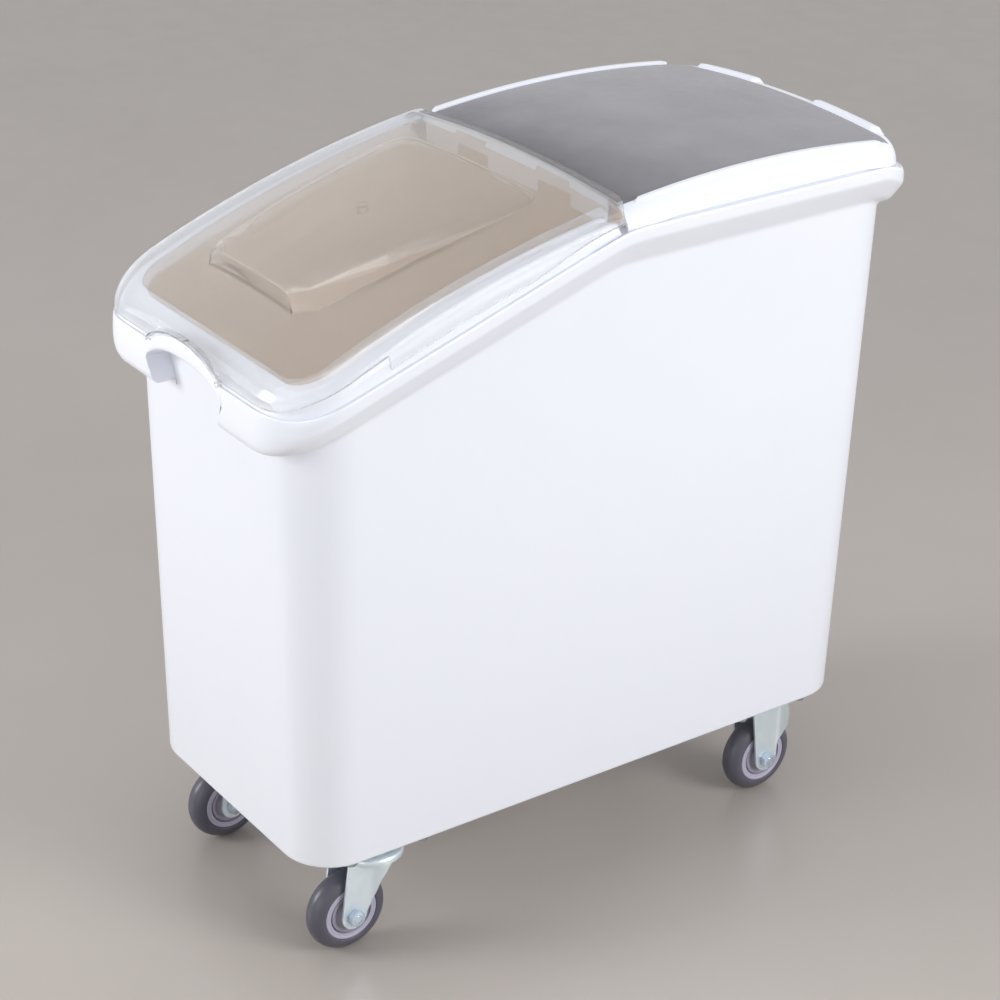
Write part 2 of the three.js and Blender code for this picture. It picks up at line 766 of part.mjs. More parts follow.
// The clear lid: a thin cap over the shelf, open behind, with guide lips on its sides
function clearLid() {
  const size = {
    halfX: clearHalfWidth,
    front: clearFront,
    rear: 2 * overrun,
    radius: clearCorner,
    crown: clearCrownRadius,
    fall: clearFall,
    fallAt: clearFallShare * clearHalfWidth,
    shoulderWidth: clearShoulderWidth,
    shoulderDepth: clearShoulderDepth,
    shares: clearShoulderShares,
    base: fasciaTop - 2 * overrun,
  };
  const band = acrossX(
    [...clearLowerLine(), [clearRear, topZ], [-clearFront - overrun, topZ]],
    -rimHalfWidth,
    rimHalfWidth,
  );
  const arch = alongY(lidArch(0), -clearFront - overrun, overrun - clearFront);
  const pullLip = alongY(lidArch(pullLipHeight), -rimHalfLength, clearWall - clearFront)
    .intersect(block(-rimHalfWidth, rimHalfWidth, -rimHalfLength, 0, arcHeight(-clearFront), topZ));
  const hollow = capHollow({ ...size, rear: size.rear + overrun }, clearWall);
  const gripOuter = cut(upright(gripPlan(0), fasciaTop, topZ).intersect(gripSide(0)), hollow);
  const gripInner = upright(gripPlan(clearWall), fasciaTop, topZ).intersect(gripSide(clearWall));
  const shell = cut(capSolid(size), hollow);
  return cut(join(shell, pullLip, gripOuter), gripInner, arch).intersect(band);
}

// Round pieces about Z or about X
function turned(profile, steps = roundSteps) {
  const geometry = new THREE.LatheGeometry(profile.map(([r, z]) => new THREE.Vector2(r, z)), steps);
  geometry.rotateX(Math.PI / 2);
  return geometry;
}

const turnedOnX = (profile, steps = roundSteps) => turned(profile, steps).rotateY(Math.PI / 2);

function disc(radius, fromZ, toZ, steps = roundSteps) {
  return solid(turned([[0, fromZ], [radius, fromZ], [radius, toZ], [0, toZ]], steps));
}

const pinOnX = (radius, fromX, toX, steps) => solid(
  turnedOnX([[0, fromX], [radius, fromX], [radius, toX], [0, toX]], steps),
);

// Wheel pieces, about X through the axle
const hubRadius = wheelRadius - treadDepth;
const hubRingInner = hubRadius - hubRimWidth;

function tyre() {
  const half = treadWidth / 2;
  const edge = wheelRadius - treadCrown;
  const crown = edge + treadCrown * treadCrownShare;
  return turnedOnX([
    [hubRadius + gap, hubRecess - half], [edge - treadRound, -half], [crown, treadRound - half],
    [wheelRadius, -half * treadFlatShare], [wheelRadius, half * treadFlatShare], [crown, half - treadRound],
    [edge - treadRound, half], [hubRadius + gap, half - hubRecess], [hubRadius + gap, hubRecess - half],
  ]);
}

function hub() {
  const half = hubWidth / 2;
  const boss = boreRadius + hubBoss;
  const ring = hubRingInner + hubRecess;
  return turnedOnX([
    [boreRadius, -half], [boss, -half], [hubRingInner, hubRecess - half], [ring, -half],
    [hubRadius, -half], [hubRadius, half], [ring, half], [hubRingInner, half - hubRecess],
    [boss, half], [boreRadius, half], [boreRadius, -half],
  ]);
}

function sleeve() {
  const half = sleeveLength / 2;
  return turnedOnX([
    [sleeveBore, -half], [sleeveRadius, -half], [sleeveRadius, half], [sleeveBore, half], [sleeveBore, -half],
  ], boreSteps);
}

const hexOnX = (across, fromX, toX) => solid(turnedOnX(
  [[0, fromX], [across / Math.sqrt(3), fromX], [across / Math.sqrt(3), toX], [0, toX]],
  6,
));

const legOuter = legClear + legThickness;

function axle() {
  const end = legOuter + gap + hexThickness;
  return surface(join(
    pinOnX(axleRadius, -legOuter - gap - weldDepth, end, pinSteps),
    hexOnX(hexAcross, -legOuter - gap - hexThickness * hexHeadShare, -legOuter - gap),
  ));
}

function nut() {
  return surface(cut(
    hexOnX(hexAcross, legOuter + gap, legOuter + gap + hexThickness),
    pinOnX(axleRadius + gap, legOuter - overrun, legOuter + overrun, pinSteps),
  ));
}

// Mounting plate with four bolt holes, its top face at a given height
function plateShape() {
  const shape = new THREE.Shape();
  const halfX = plateWidth / 2;
  const halfY = plateLength / 2;
  shape.moveTo(plateCorner - halfX, -halfY);
  shape.lineTo(halfX - plateCorner, -halfY);
  shape.absarc(halfX - plateCorner, plateCorner - halfY, plateCorner, -Math.PI / 2, 0);
  shape.absarc(halfX - plateCorner, halfY - plateCorner, plateCorner, 0, Math.PI / 2);
  shape.absarc(plateCorner - halfX, halfY - plateCorner, plateCorner, Math.PI / 2, Math.PI);
  shape.absarc(plateCorner - halfX, plateCorner - halfY, plateCorner, Math.PI, Math.PI * 1.5);
  boltPlaces().forEach(([x, y]) => {
    const hole = new THREE.Path();
    hole.absarc(x, y, plateBoltHole, 0, Math.PI * 2);
    shape.holes.push(hole);
  });
  return shape;
}

function boltPlaces() {
  return [[1, 1], [-1, 1], [-1, -1], [1, -1]].map(([sx, sy]) => [sx * boltAcross / 2, sy * boltAlong / 2]);
}

const plateTop = underside - gap;
const plateBottom = plateTop - plateThickness;

const mountingPlate = () => upright(plateShape(), plateBottom, plateTop, plateCornerSteps);

function plateBolt() {
  const corner = plateBoltAcross / Math.sqrt(3);
  const headTop = plateBottom - gap;
  const headBottom = headTop - plateBoltHead;
  return surface(join(
    solid(turned([[0, headBottom], [corner, headBottom], [corner, headTop], [0, headTop]], 6)),
    disc(plateBoltRadius, headTop - weldDepth, underside + plateBoltGrip, holeSteps),
  ));
}

// Where the casters stand, and the bolt holes above their plates
const wheelSide = rimHalfWidth - floorSideInset - wheelSideInset;
const frontSwivelY = floorFrontInset + frontSwivelInset - rimHalfLength;
const rearAxleY = rimHalfLength - floorRearInset - rearAxleInset;
const rearPlateY = rearAxleY - rearPlateShift;

function boltHoles() {
  const places = [];
  [-1, 1].forEach((side) => [frontSwivelY, rearPlateY].forEach((y) => boltPlaces().forEach(([boltX, boltY]) => {
    places.push([side * wheelSide + boltX, y + boltY]);
  })));
  const hole = disc(plateBoltHole, underside - weldDepth, underside + plateBoltGrip + gap, holeSteps);
  return places.map(([x, y]) => hole.translate([x, y, 0]));
}

// One leg of a fork in its own plane: wide at the top, round at the axle
function leg(topZ, topFront, topRear, side) {
  const shape = new THREE.Shape();
  shape.moveTo(topFront, topZ);
  shape.lineTo(-legTipRadius, wheelRadius);
  shape.absarc(0, wheelRadius, legTipRadius, Math.PI, Math.PI * 2);
  shape.lineTo(topRear, topZ);
  const hole = new THREE.Path();
  hole.absarc(0, wheelRadius, axleRadius + gap, 0, Math.PI * 2);
  shape.holes.push(hole);
  const settings = { depth: legThickness, bevelEnabled: false, curveSegments: tipSteps };
  const geometry = new THREE.ExtrudeGeometry(shape, settings);
  geometry.applyMatrix4(new THREE.Matrix4().makeBasis(
    new THREE.Vector3(0, 1, 0),
    new THREE.Vector3(0, 0, 1),
    new THREE.Vector3(1, 0, 0),
  ));
  geometry.translate(side < 0 ? -legOuter : legClear, 0, 0);
  return solid(geometry);
}

// Swivel caster heights, from the plate down
const raceBottom = plateBottom - gap - raceHeight;
const ringBottom = raceBottom - gap - ringHeight;
const crownTop = ringBottom - gap;
const crownBottom = crownTop - crownThickness;

function upperRace() {
  return turned([
    [kingpinRadius + gap, raceBottom + raceHeight], [kingpinRadius + gap, raceBottom + racePanRise],
    [ringRadius - racePan, raceBottom], [ringRadius, raceBottom], [raceRadius, raceBottom + raceRound],
    [raceRadius - raceTaper, raceBottom + raceHeight], [kingpinRadius + gap, raceBottom + raceHeight],
  ]);
}

function bearingRing() {
  return turned([
    [kingpinRadius + gap, ringBottom], [ringRadius, ringBottom],
    [ringRadius, ringBottom + ringHeight], [kingpinRadius + gap, ringBottom + ringHeight],
    [kingpinRadius + gap, ringBottom],
  ]);
}

function kingpin() {
  return turned([
    [0, crownBottom - gap - kingpinHeadHeight], [kingpinHead, crownBottom - gap - kingpinHeadHeight],
    [kingpinHead, crownBottom - gap], [kingpinRadius, crownBottom - gap], [kingpinRadius, plateBottom - gap],
    [0, plateBottom - gap],
  ], boreSteps);
}

function swivelFork() {
  const front = -crownRadius - bridgeFrontReach;
  const rear = crownRadius - bridgeRearInset;
  const seatDisc = disc(crownRadius, crownBottom, crownTop);
  const bridge = block(-legOuter, legOuter, front, rear, crownBottom, crownTop);
  const bore = disc(kingpinRadius + gap, crownBottom - overrun, crownTop + overrun, boreSteps);
  const legs = [1, -1].map((side) => leg(crownTop, frontTrail + front, frontTrail + rear, side)
    .translate([0, -frontTrail, 0]));
  return surface(join(cut(join(seatDisc, bridge), bore), ...legs));
}

function fixedFork() {
  const plate = mountingPlate().translate([0, -rearPlateShift, 0]);
  const legs = [1, -1].map((side) => leg(plateBottom + weldDepth, -legTopHalf, legTopHalf, side));
  return surface(join(plate, ...legs));
}

// Materials
const white = new THREE.MeshStandardMaterial({ color: 0xf4f5f7, roughness: 0.35, metalness: 0 });
const lidGrey = new THREE.MeshStandardMaterial({ color: 0xb9bac0, roughness: 0.45, metalness: 0 });
const clear = new THREE.MeshStandardMaterial({
  color: 0xeef1f2, roughness: 0.05, metalness: 0, transparent: true, opacity: 0.3,
});
const zinc = new THREE.MeshStandardMaterial({ color: 0xc9d3d8, roughness: 0.3, metalness: 0.9 });
const steel = new THREE.MeshStandardMaterial({ color: 0xb4bcc4, roughness: 0.35, metalness: 0.9 });
const rubber = new THREE.MeshStandardMaterial({ color: 0x5a5c66, roughness: 0.4, metalness: 0 });
const hubGrey = new THREE.MeshStandardMaterial({ color: 0xa7a4b2, roughness: 0.5, metalness: 0 });

function piece(name, shape, material) {
  const geometry = shape.isBufferGeometry ? shape : surface(shape);
  const mesh = new THREE.Mesh(geometry, material);
  mesh.name = name;
  return mesh;
}

// The whole bin
const bin = new THREE.Group();
bin.add(piece('bin_body', binBody(), white));
bin.add(piece('rear_lid', rearLid(), lidGrey));
bin.add(piece('front_lid', clearLid(), clear));

function wheel(prefix) {
  const group = new THREE.Group();
  group.add(piece(`${prefix}_tyre`, tyre(), rubber));
  group.add(piece(`${prefix}_hub`, hub(), hubGrey));
  group.position.z = wheelRadius;
  return group;
}

// The nut of each axle faces away from the bin
function axleSet(prefix, side) {
  const group = new THREE.Group();
  group.rotation.z = side < 0 ? Math.PI : 0;
  group.add(piece(`${prefix}_sleeve`, sleeve(), steel));
  group.add(piece(`${prefix}_axle_bolt`, axle(), zinc));
  group.add(piece(`${prefix}_axle_nut`, nut(), zinc));
  group.position.z = wheelRadius;
  return group;
}

function boltSet(prefix) {
  const group = new THREE.Group();
  boltPlaces().forEach(([x, y], i) => {
    const bolt = piece(`${prefix}_plate_bolt_${i + 1}`, plateBolt(), steel);
    bolt.position.set(x, y, 0);
    group.add(bolt);
  });
  return group;
}

[['left', -1], ['right', 1]].forEach(([hand, side]) => {
  const front = new THREE.Group();
  const frontName = `front_${hand}`;
  front.position.set(side * wheelSide, frontSwivelY, 0);
  front.add(piece(`${frontName}_plate`, mountingPlate(), zinc));
  front.add(boltSet(frontName));
  front.add(piece(`${frontName}_race`, upperRace(), zinc));
  front.add(piece(`${frontName}_bearing_ring`, bearingRing(), steel));
  front.add(piece(`${frontName}_kingpin`, kingpin(), steel));
  front.add(piece(`${frontName}_fork`, swivelFork(), zinc));
  const trailing = new THREE.Group();
  trailing.position.y = -frontTrail;
  trailing.add(wheel(frontName), axleSet(frontName, side));
  front.add(trailing);
  bin.add(front);

  const rear = new THREE.Group();
  const rearName = `rear_${hand}`;
  rear.position.set(side * wheelSide, rearAxleY, 0);
  rear.add(piece(`${rearName}_fork`, fixedFork(), zinc));
  const rearBolts = boltSet(rearName);
  rearBolts.position.y = -rearPlateShift;
  rear.add(rearBolts);
  rear.add(wheel(rearName), axleSet(rearName, side));
  bin.add(rear);
});

export default bin;
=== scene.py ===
"""Looks of a slant-front storage bin on four casters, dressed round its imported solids."""

import json
import logging
import math
from collections.abc import Callable, Sequence
from dataclasses import dataclass, field

import bpy
from mathutils import Matrix, Vector


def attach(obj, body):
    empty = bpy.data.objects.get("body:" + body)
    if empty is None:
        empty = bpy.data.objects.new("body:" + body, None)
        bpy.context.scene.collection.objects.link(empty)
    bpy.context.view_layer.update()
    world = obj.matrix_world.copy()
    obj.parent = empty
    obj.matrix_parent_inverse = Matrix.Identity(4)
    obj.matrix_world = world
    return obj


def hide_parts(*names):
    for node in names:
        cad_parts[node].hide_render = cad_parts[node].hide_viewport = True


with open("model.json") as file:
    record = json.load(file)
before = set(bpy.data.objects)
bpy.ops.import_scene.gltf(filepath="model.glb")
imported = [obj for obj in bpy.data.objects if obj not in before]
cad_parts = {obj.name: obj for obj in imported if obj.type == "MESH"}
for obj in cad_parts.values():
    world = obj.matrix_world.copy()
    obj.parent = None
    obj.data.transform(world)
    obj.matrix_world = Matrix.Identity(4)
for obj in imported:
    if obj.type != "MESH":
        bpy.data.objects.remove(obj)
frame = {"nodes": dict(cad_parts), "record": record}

MM = 0.001
Point = tuple[float, float, float]
Profile = tuple[tuple[float, float], ...]
Outline = Sequence[tuple[float, float]]
Height = Callable[[float, float], float]

logger = logging.getLogger("bin")


# Bench tools


def linear(hex_colour: str) -> tuple[float, float, float, float]:
    """Turn an sRGB hex colour into linear RGBA.

    Args:
        hex_colour: Six hex digits, with or without a leading hash.

    Returns:
        The linear colour with an alpha of one.
    """
    digits = hex_colour.lstrip("#")
    channels = [int(digits[i : i + 2], 16) / 255 for i in (0, 2, 4)]
    red, green, blue = (
        c / 12.92 if c <= 0.04045 else ((c + 0.055) / 1.055) ** 2.4 for c in channels
    )
    return (red, green, blue, 1.0)


def smoothstep(value: float) -> float:
    """Ease from 0 to 1 over the unit range."""
    t = min(1.0, max(0.0, value))
    return t * t * (3 - 2 * t)


def lerp(a: float, b: float, share: float) -> float:
    """Mix two numbers by a share."""
    return a + (b - a) * share


def along(line: Outline, value: float) -> float:
    """Read a softened polyline of pairs at a value of its first member."""
    if value <= line[0][0]:
        return line[0][1]
    for (a, low), (b, high) in zip(line, line[1:], strict=False):
        if value <= b:
            share = (value - a) / (b - a)
            return lerp(low, high, (smoothstep(share) + share) / 2)
    return line[-1][1]


def rounded(line: Sequence[Vector], radii: Sequence[float], steps: int) -> list[Vector]:
    """Round each inner corner of a polyline in space.

    Args:
        line: The corners, in order.
        radii: How far from each corner its rounding starts.
        steps: Points that stand for each corner.

    Returns:
        The same ends, with every inner corner replaced by steps points.
    """
    points = [line[0]]
    for before, corner, after, radius in zip(line, line[1:], line[2:], radii[1:], strict=False):
        into, out = before - corner, after - corner
        reach = min(radius, 0.45 * into.length, 0.45 * out.length)
        start = corner + into.normalized() * reach if into.length else corner
        end = corner + out.normalized() * reach if out.length else corner
        for i in range(steps):
            t = i / (steps - 1)
            points.append(start.lerp(corner, t).lerp(corner.lerp(end, t), t))
    points.append(line[-1])
    return points


def deselect() -> None:
    """Leave object mode on with nothing selected."""
    if bpy.context.object is not None and bpy.context.object.mode != "OBJECT":
        bpy.ops.object.mode_set(mode="OBJECT")
    bpy.ops.object.select_all(action="DESELECT")


def only(piece: bpy.types.Object) -> None:
    """Select one object alone and make it active."""
    deselect()
    piece.select_set(True)
    bpy.context.view_layer.objects.active = piece


def named(name: str) -> bpy.types.Object:
    """Name the object that was just added, and return it."""
    piece = bpy.context.object
    piece.name = name
    piece.data.name = name
    return piece


def settle(piece: bpy.types.Object) -> bpy.types.Object:
    """Put an object's place into its mesh, so that it stands at the origin unturned."""
    deselect()
    piece.data.transform(piece.matrix_basis)
    piece.matrix_basis = Matrix.Identity(4)
    return piece


def tidy_mesh(piece: bpy.types.Object, outward: bool = True, merge: float = 1e-6) -> None:
    """Merge doubled points and, on a closed shell, turn its faces outwards."""
    only(piece)
    bpy.ops.object.mode_set(mode="EDIT")
    bpy.ops.mesh.select_all(action="SELECT")
    bpy.ops.mesh.remove_doubles(threshold=merge)
    if outward:
        bpy.ops.mesh.normals_make_consistent(inside=False)
    deselect()


def smooth(piece: bpy.types.Object, degrees: float = 40.0) -> None:
    """Shade a piece smooth, with sharp edges above an angle."""
    only(piece)
    bpy.ops.object.shade_smooth_by_angle(angle=math.radians(degrees))
    deselect()


def modify(piece: bpy.types.Object, kind: str, **settings: object) -> None:
    """Give a piece one modifier with its settings, and apply it.

    Args:
        piece: The object to change.
        kind: Blender's name for the modifier.
        settings: Its properties.
    """
    only(piece)
    modifier = piece.modifiers.new(kind.title(), kind)
    for key, value in settings.items():
        setattr(modifier, key, value)
    bpy.ops.object.modifier_apply(modifier=modifier.name)
    deselect()


def combine(piece: bpy.types.Object, tool: bpy.types.Object, operation: str) -> None:
    """Join a tool solid to a piece, or cut it out, and remove the tool."""
    modify(piece, "BOOLEAN", object=tool, operation=operation, solver="EXACT")
    bpy.data.objects.remove(tool)


def sheet_of(
    name: str, rings: Sequence[Sequence[Vector]], closed: bool, second_from: int | None = None
) -> bpy.types.Object:
    """Bend a grid over rings of points, ring by ring.

    Args:
        name: The new object's name.
        rings: Rows of points in millimetres, all of one length.
        closed: Whether each row comes back to its start.
        second_from: The row from which faces take the second finish, if any.

    Returns:
        The skin, in metres.
    """
    rows = [list(ring) + ([ring[0]] if closed else []) for ring in rings]
    deselect()
    bpy.ops.mesh.primitive_grid_add(
        x_subdivisions=len(rows[0]) - 1, y_subdivisions=len(rows) - 1, size=1
    )
    piece = named(name)
    flat = [MM * value for row in rows for point in row for value in point]
    piece.data.vertices.foreach_set("co", flat)
    piece.data.update()
    if second_from is not None:
        for polygon in piece.data.polygons:
            polygon.material_index = int(min(polygon.vertices) // len(rows[0]) >= second_from)
    if closed:
        tidy_mesh(piece, outward=False)
    return piece


def face_up(piece: bpy.types.Object) -> None:
    """Turn an open sheet so that its crown faces up."""
    top = max(piece.data.polygons, key=lambda p: p.center.z)
    if top.normal.z < 0:
        only(piece)
        bpy.ops.object.mode_set(mode="EDIT")
        bpy.ops.mesh.select_all(action="SELECT")
        bpy.ops.mesh.flip_normals()
        deselect()


def cap_holes(piece: bpy.types.Object) -> None:
    """Fill every open edge loop of a skin, and turn the closed shell outwards."""
    only(piece)
    bpy.ops.object.mode_set(mode="EDIT")
    bpy.ops.mesh.select_mode(type="EDGE")
    bpy.ops.mesh.select_all(action="DESELECT")
    bpy.ops.mesh.select_non_manifold(extend=False)
    bpy.ops.mesh.edge_face_add()
    bpy.ops.mesh.select_all(action="SELECT")
    bpy.ops.mesh.normals_make_consistent(inside=False)
    deselect()


def turned(
    name: str,
    profile: Outline,
    centre: Point,
    axis: str = "X",
    steps: int = 64,
) -> bpy.types.Object:
    """Spin a closed outline of radius and place round an axis.

    Args:
        name: The new object's name.
        profile: Pairs of radius and place along the axis, in millimetres.
        centre: Where the axis' zero stands, in millimetres.
        axis: X or Z.
        steps: How many facets go round.

    Returns:
        The turned body.
    """
    deselect()
    bpy.ops.mesh.primitive_circle_add(vertices=len(profile), fill_type="NOTHING")
    piece = named(name)
    base = Vector(centre)
    for vertex, (radius, along) in zip(piece.data.vertices, profile, strict=True):
        place = Vector((along, 0, radius)) if axis == "X" else Vector((radius, 0, along))
        vertex.co = (base + place) * MM
    only(piece)
    bpy.ops.object.mode_set(mode="EDIT")
    bpy.ops.mesh.select_all(action="SELECT")
    direction = (1, 0, 0) if axis == "X" else (0, 0, 1)
    bpy.ops.mesh.spin(
        steps=steps, angle=2 * math.pi, center=tuple(base * MM), axis=direction, use_auto_merge=True
    )
    tidy_mesh(piece)
    return piece


def softened(
    corners: Outline, radius: float | Sequence[float], steps: int = 4
) -> list[tuple[float, float]]:
    """Round the corners of a closed outline of pairs."""
    count = len(corners)
    radii = [radius] * count if isinstance(radius, (int, float)) else list(radius)
    points: list[tuple[float, float]] = []
    for i, (corner, reach) in enumerate(zip(corners, radii, strict=True)):
        line = [Vector((*corners[i - 1], 0)), Vector((*corner, 0)), Vector((*corners[(i + 1) % count], 0))]
        if reach == 0:
            points.append(corner)
            continue
        points += [(p.x, p.y) for p in rounded(line, [0, reach, 0], steps)[1:-1]]
    return points


def prism(
    name: str,
    outline: Outline,
    low: float,
    high: float,
    place: Callable[[float, float, float], Vector],
) -> bpy.types.Object:
    """Fill an outline, extrude it, and lay it in space.

    Args:
        name: The new object's name.
        outline: Pairs of plane coordinates, in millimetres.
        low: Where the first face lies across the plane.
        high: Where the extruded face lies.
        place: Turns plane coordinates and the height across into a point in space.

    Returns:
        The prism.
    """
    deselect()
    bpy.ops.mesh.primitive_circle_add(vertices=len(outline), fill_type="NGON")
    piece = named(name)
    for vertex, (u, v) in zip(piece.data.vertices, outline, strict=True):
        vertex.co = place(u, v, low) * MM
    only(piece)
    bpy.ops.object.mode_set(mode="EDIT")
    bpy.ops.mesh.select_all(action="SELECT")
    shift = (place(*outline[0], high) - place(*outline[0], low)) * MM
    bpy.ops.mesh.extrude_region_move(TRANSFORM_OT_translate={"value": tuple(shift)})
    tidy_mesh(piece)
    return piece


def on_y(u: float, v: float, w: float) -> Vector:
    """Lay an outline of x and z at a y."""
    return Vector((u, w, v))


def on_z(u: float, v: float, w: float) -> Vector:
    """Lay an outline of x and y at a z."""
    return Vector((u, v, w))


def bevel_edges(piece: bpy.types.Object, width: float, segments: int = 3, degrees: float = 35.0) -> None:
    """Round a piece's sharp edges by a width in millimetres."""
    modify(
        piece,
        "BEVEL",
        width=width * MM,
        segments=segments,
        limit_method="ANGLE",
        angle_limit=math.radians(degrees),
        use_clamp_overlap=True,
    )


# Finishes


def add_node(
    tree: bpy.types.NodeTree, kind: str, inputs: dict[str, object], **settings: object
) -> bpy.types.Node:
    """Add a node with its settings, values and links.

    Args:
        tree: The material's node tree.
        kind: The node's type.
        inputs: For each input, a socket to link or a value to set.
        settings: The node's own properties.

    Returns:
        The new node.
    """
    made = tree.nodes.new(kind)
    for key, value in settings.items():
        setattr(made, key, value)
    for key, value in inputs.items():
        socket = made.inputs[int(key)] if key.isdigit() else made.inputs[key]
        if isinstance(value, bpy.types.NodeSocket):
            tree.links.new(value, socket)
        else:
            socket.default_value = value
    return made


def per_metre(period_mm: float) -> float:
    """Give the texture scale whose pattern repeats about every so many millimetres."""
    return 1 / (period_mm * MM)


@dataclass(frozen=True)
class Finish:
    """A surface finish: what it is made of, and how its colour and gloss vary."""

    name: str
    colour: str
    shade: str
    roughness: float
    roughness_spread: float = 0.04
    metallic: float = 0.0
    ior: float = 1.5
    patch_mm: float = 60.0
    grain_mm: float = 0.9
    grain_depth_mm: float = 0.004
    swell_mm: float = 70.0
    swell_depth_mm: float = 0.02
    # Emission strength: painted light on a surface that is no lamp
    painted_glow: float = 0.0

    def material(self) -> bpy.types.Material:
        """Build the material once, and return it."""
        known = bpy.data.materials.get(self.name)
        if known is not None:
            return known
        made = bpy.data.materials.new(self.name)
        made.use_nodes = True
        tree = made.node_tree
        tree.nodes.clear()
        place = add_node(tree, "ShaderNodeTexCoord", {}).outputs["Object"]
        shader = add_node(
            tree,
            "ShaderNodeBsdfPrincipled",
            {"Metallic": self.metallic},
        )
        if self.metallic == 0:
            shader.inputs["IOR"].default_value = self.ior
        # Painted light: the surface glows in its shade colour though it is no lamp
        if self.painted_glow:
            shader.inputs["Emission Color"].default_value = linear(self.shade)
            shader.inputs["Emission Strength"].default_value = self.painted_glow
        self.paint(tree, place, shader)
        add_node(tree, "ShaderNodeOutputMaterial", {"Surface": shader.outputs["BSDF"]})
        return made

    def paint(
        self, tree: bpy.types.NodeTree, place: bpy.types.NodeSocket, shader: bpy.types.Node
    ) -> None:
        """Lay colour, gloss and relief on the shader."""
        patches = self.noise(tree, place, self.patch_mm, 3.0)
        tree.links.new(self.mix(tree, patches, self.colour, self.shade), shader.inputs["Base Color"])
        gloss = add_node(
            tree,
            "ShaderNodeMapRange",
            {
                "Value": self.noise(tree, place, self.patch_mm / 7, 4.0),
                "From Min": 0.3,
                "From Max": 0.7,
                "To Min": self.roughness - self.roughness_spread,
                "To Max": self.roughness + self.roughness_spread,
            },
        )
        tree.links.new(gloss.outputs["Result"], shader.inputs["Roughness"])
        tree.links.new(self.relief(tree, place), shader.inputs["Normal"])

    def relief(self, tree: bpy.types.NodeTree, place: bpy.types.NodeSocket) -> bpy.types.NodeSocket:
        """Give the surface its broad swell and its fine grain."""
        swell = add_node(
            tree,
            "ShaderNodeBump",
            {
                "Height": self.noise(tree, place, self.swell_mm, 1.0),
                "Distance": self.swell_depth_mm * MM,
                "Strength": 1.0,
            },
        )
        if self.grain_depth_mm == 0:
            return swell.outputs["Normal"]
        grain = add_node(
            tree,
            "ShaderNodeBump",
            {
                "Height": self.noise(tree, place, self.grain_mm, 2.0),
                "Distance": self.grain_depth_mm * MM,
                "Strength": 1.0,
                "Normal": swell.outputs["Normal"],
            },
        )
        return grain.outputs["Normal"]

    @staticmethod
    def noise(
        tree: bpy.types.NodeTree, place: bpy.types.NodeSocket, period_mm: float, detail: float
    ) -> bpy.types.NodeSocket:
        """Add a noise pattern of a period in millimetres."""
        made = add_node(
            tree, "ShaderNodeTexNoise", {"Vector": place, "Scale": per_metre(period_mm), "Detail": detail}
        )
        return made.outputs["Fac"]

    @staticmethod
    def mix(
        tree: bpy.types.NodeTree, factor: bpy.types.NodeSocket, first: str, second: str
    ) -> bpy.types.NodeSocket:
        """Mix two hex colours by a factor socket."""
        made = add_node(
            tree, "ShaderNodeMix", {"0": factor, "6": linear(first), "7": linear(second)}, data_type="RGBA"
        )
        return made.outputs[2]


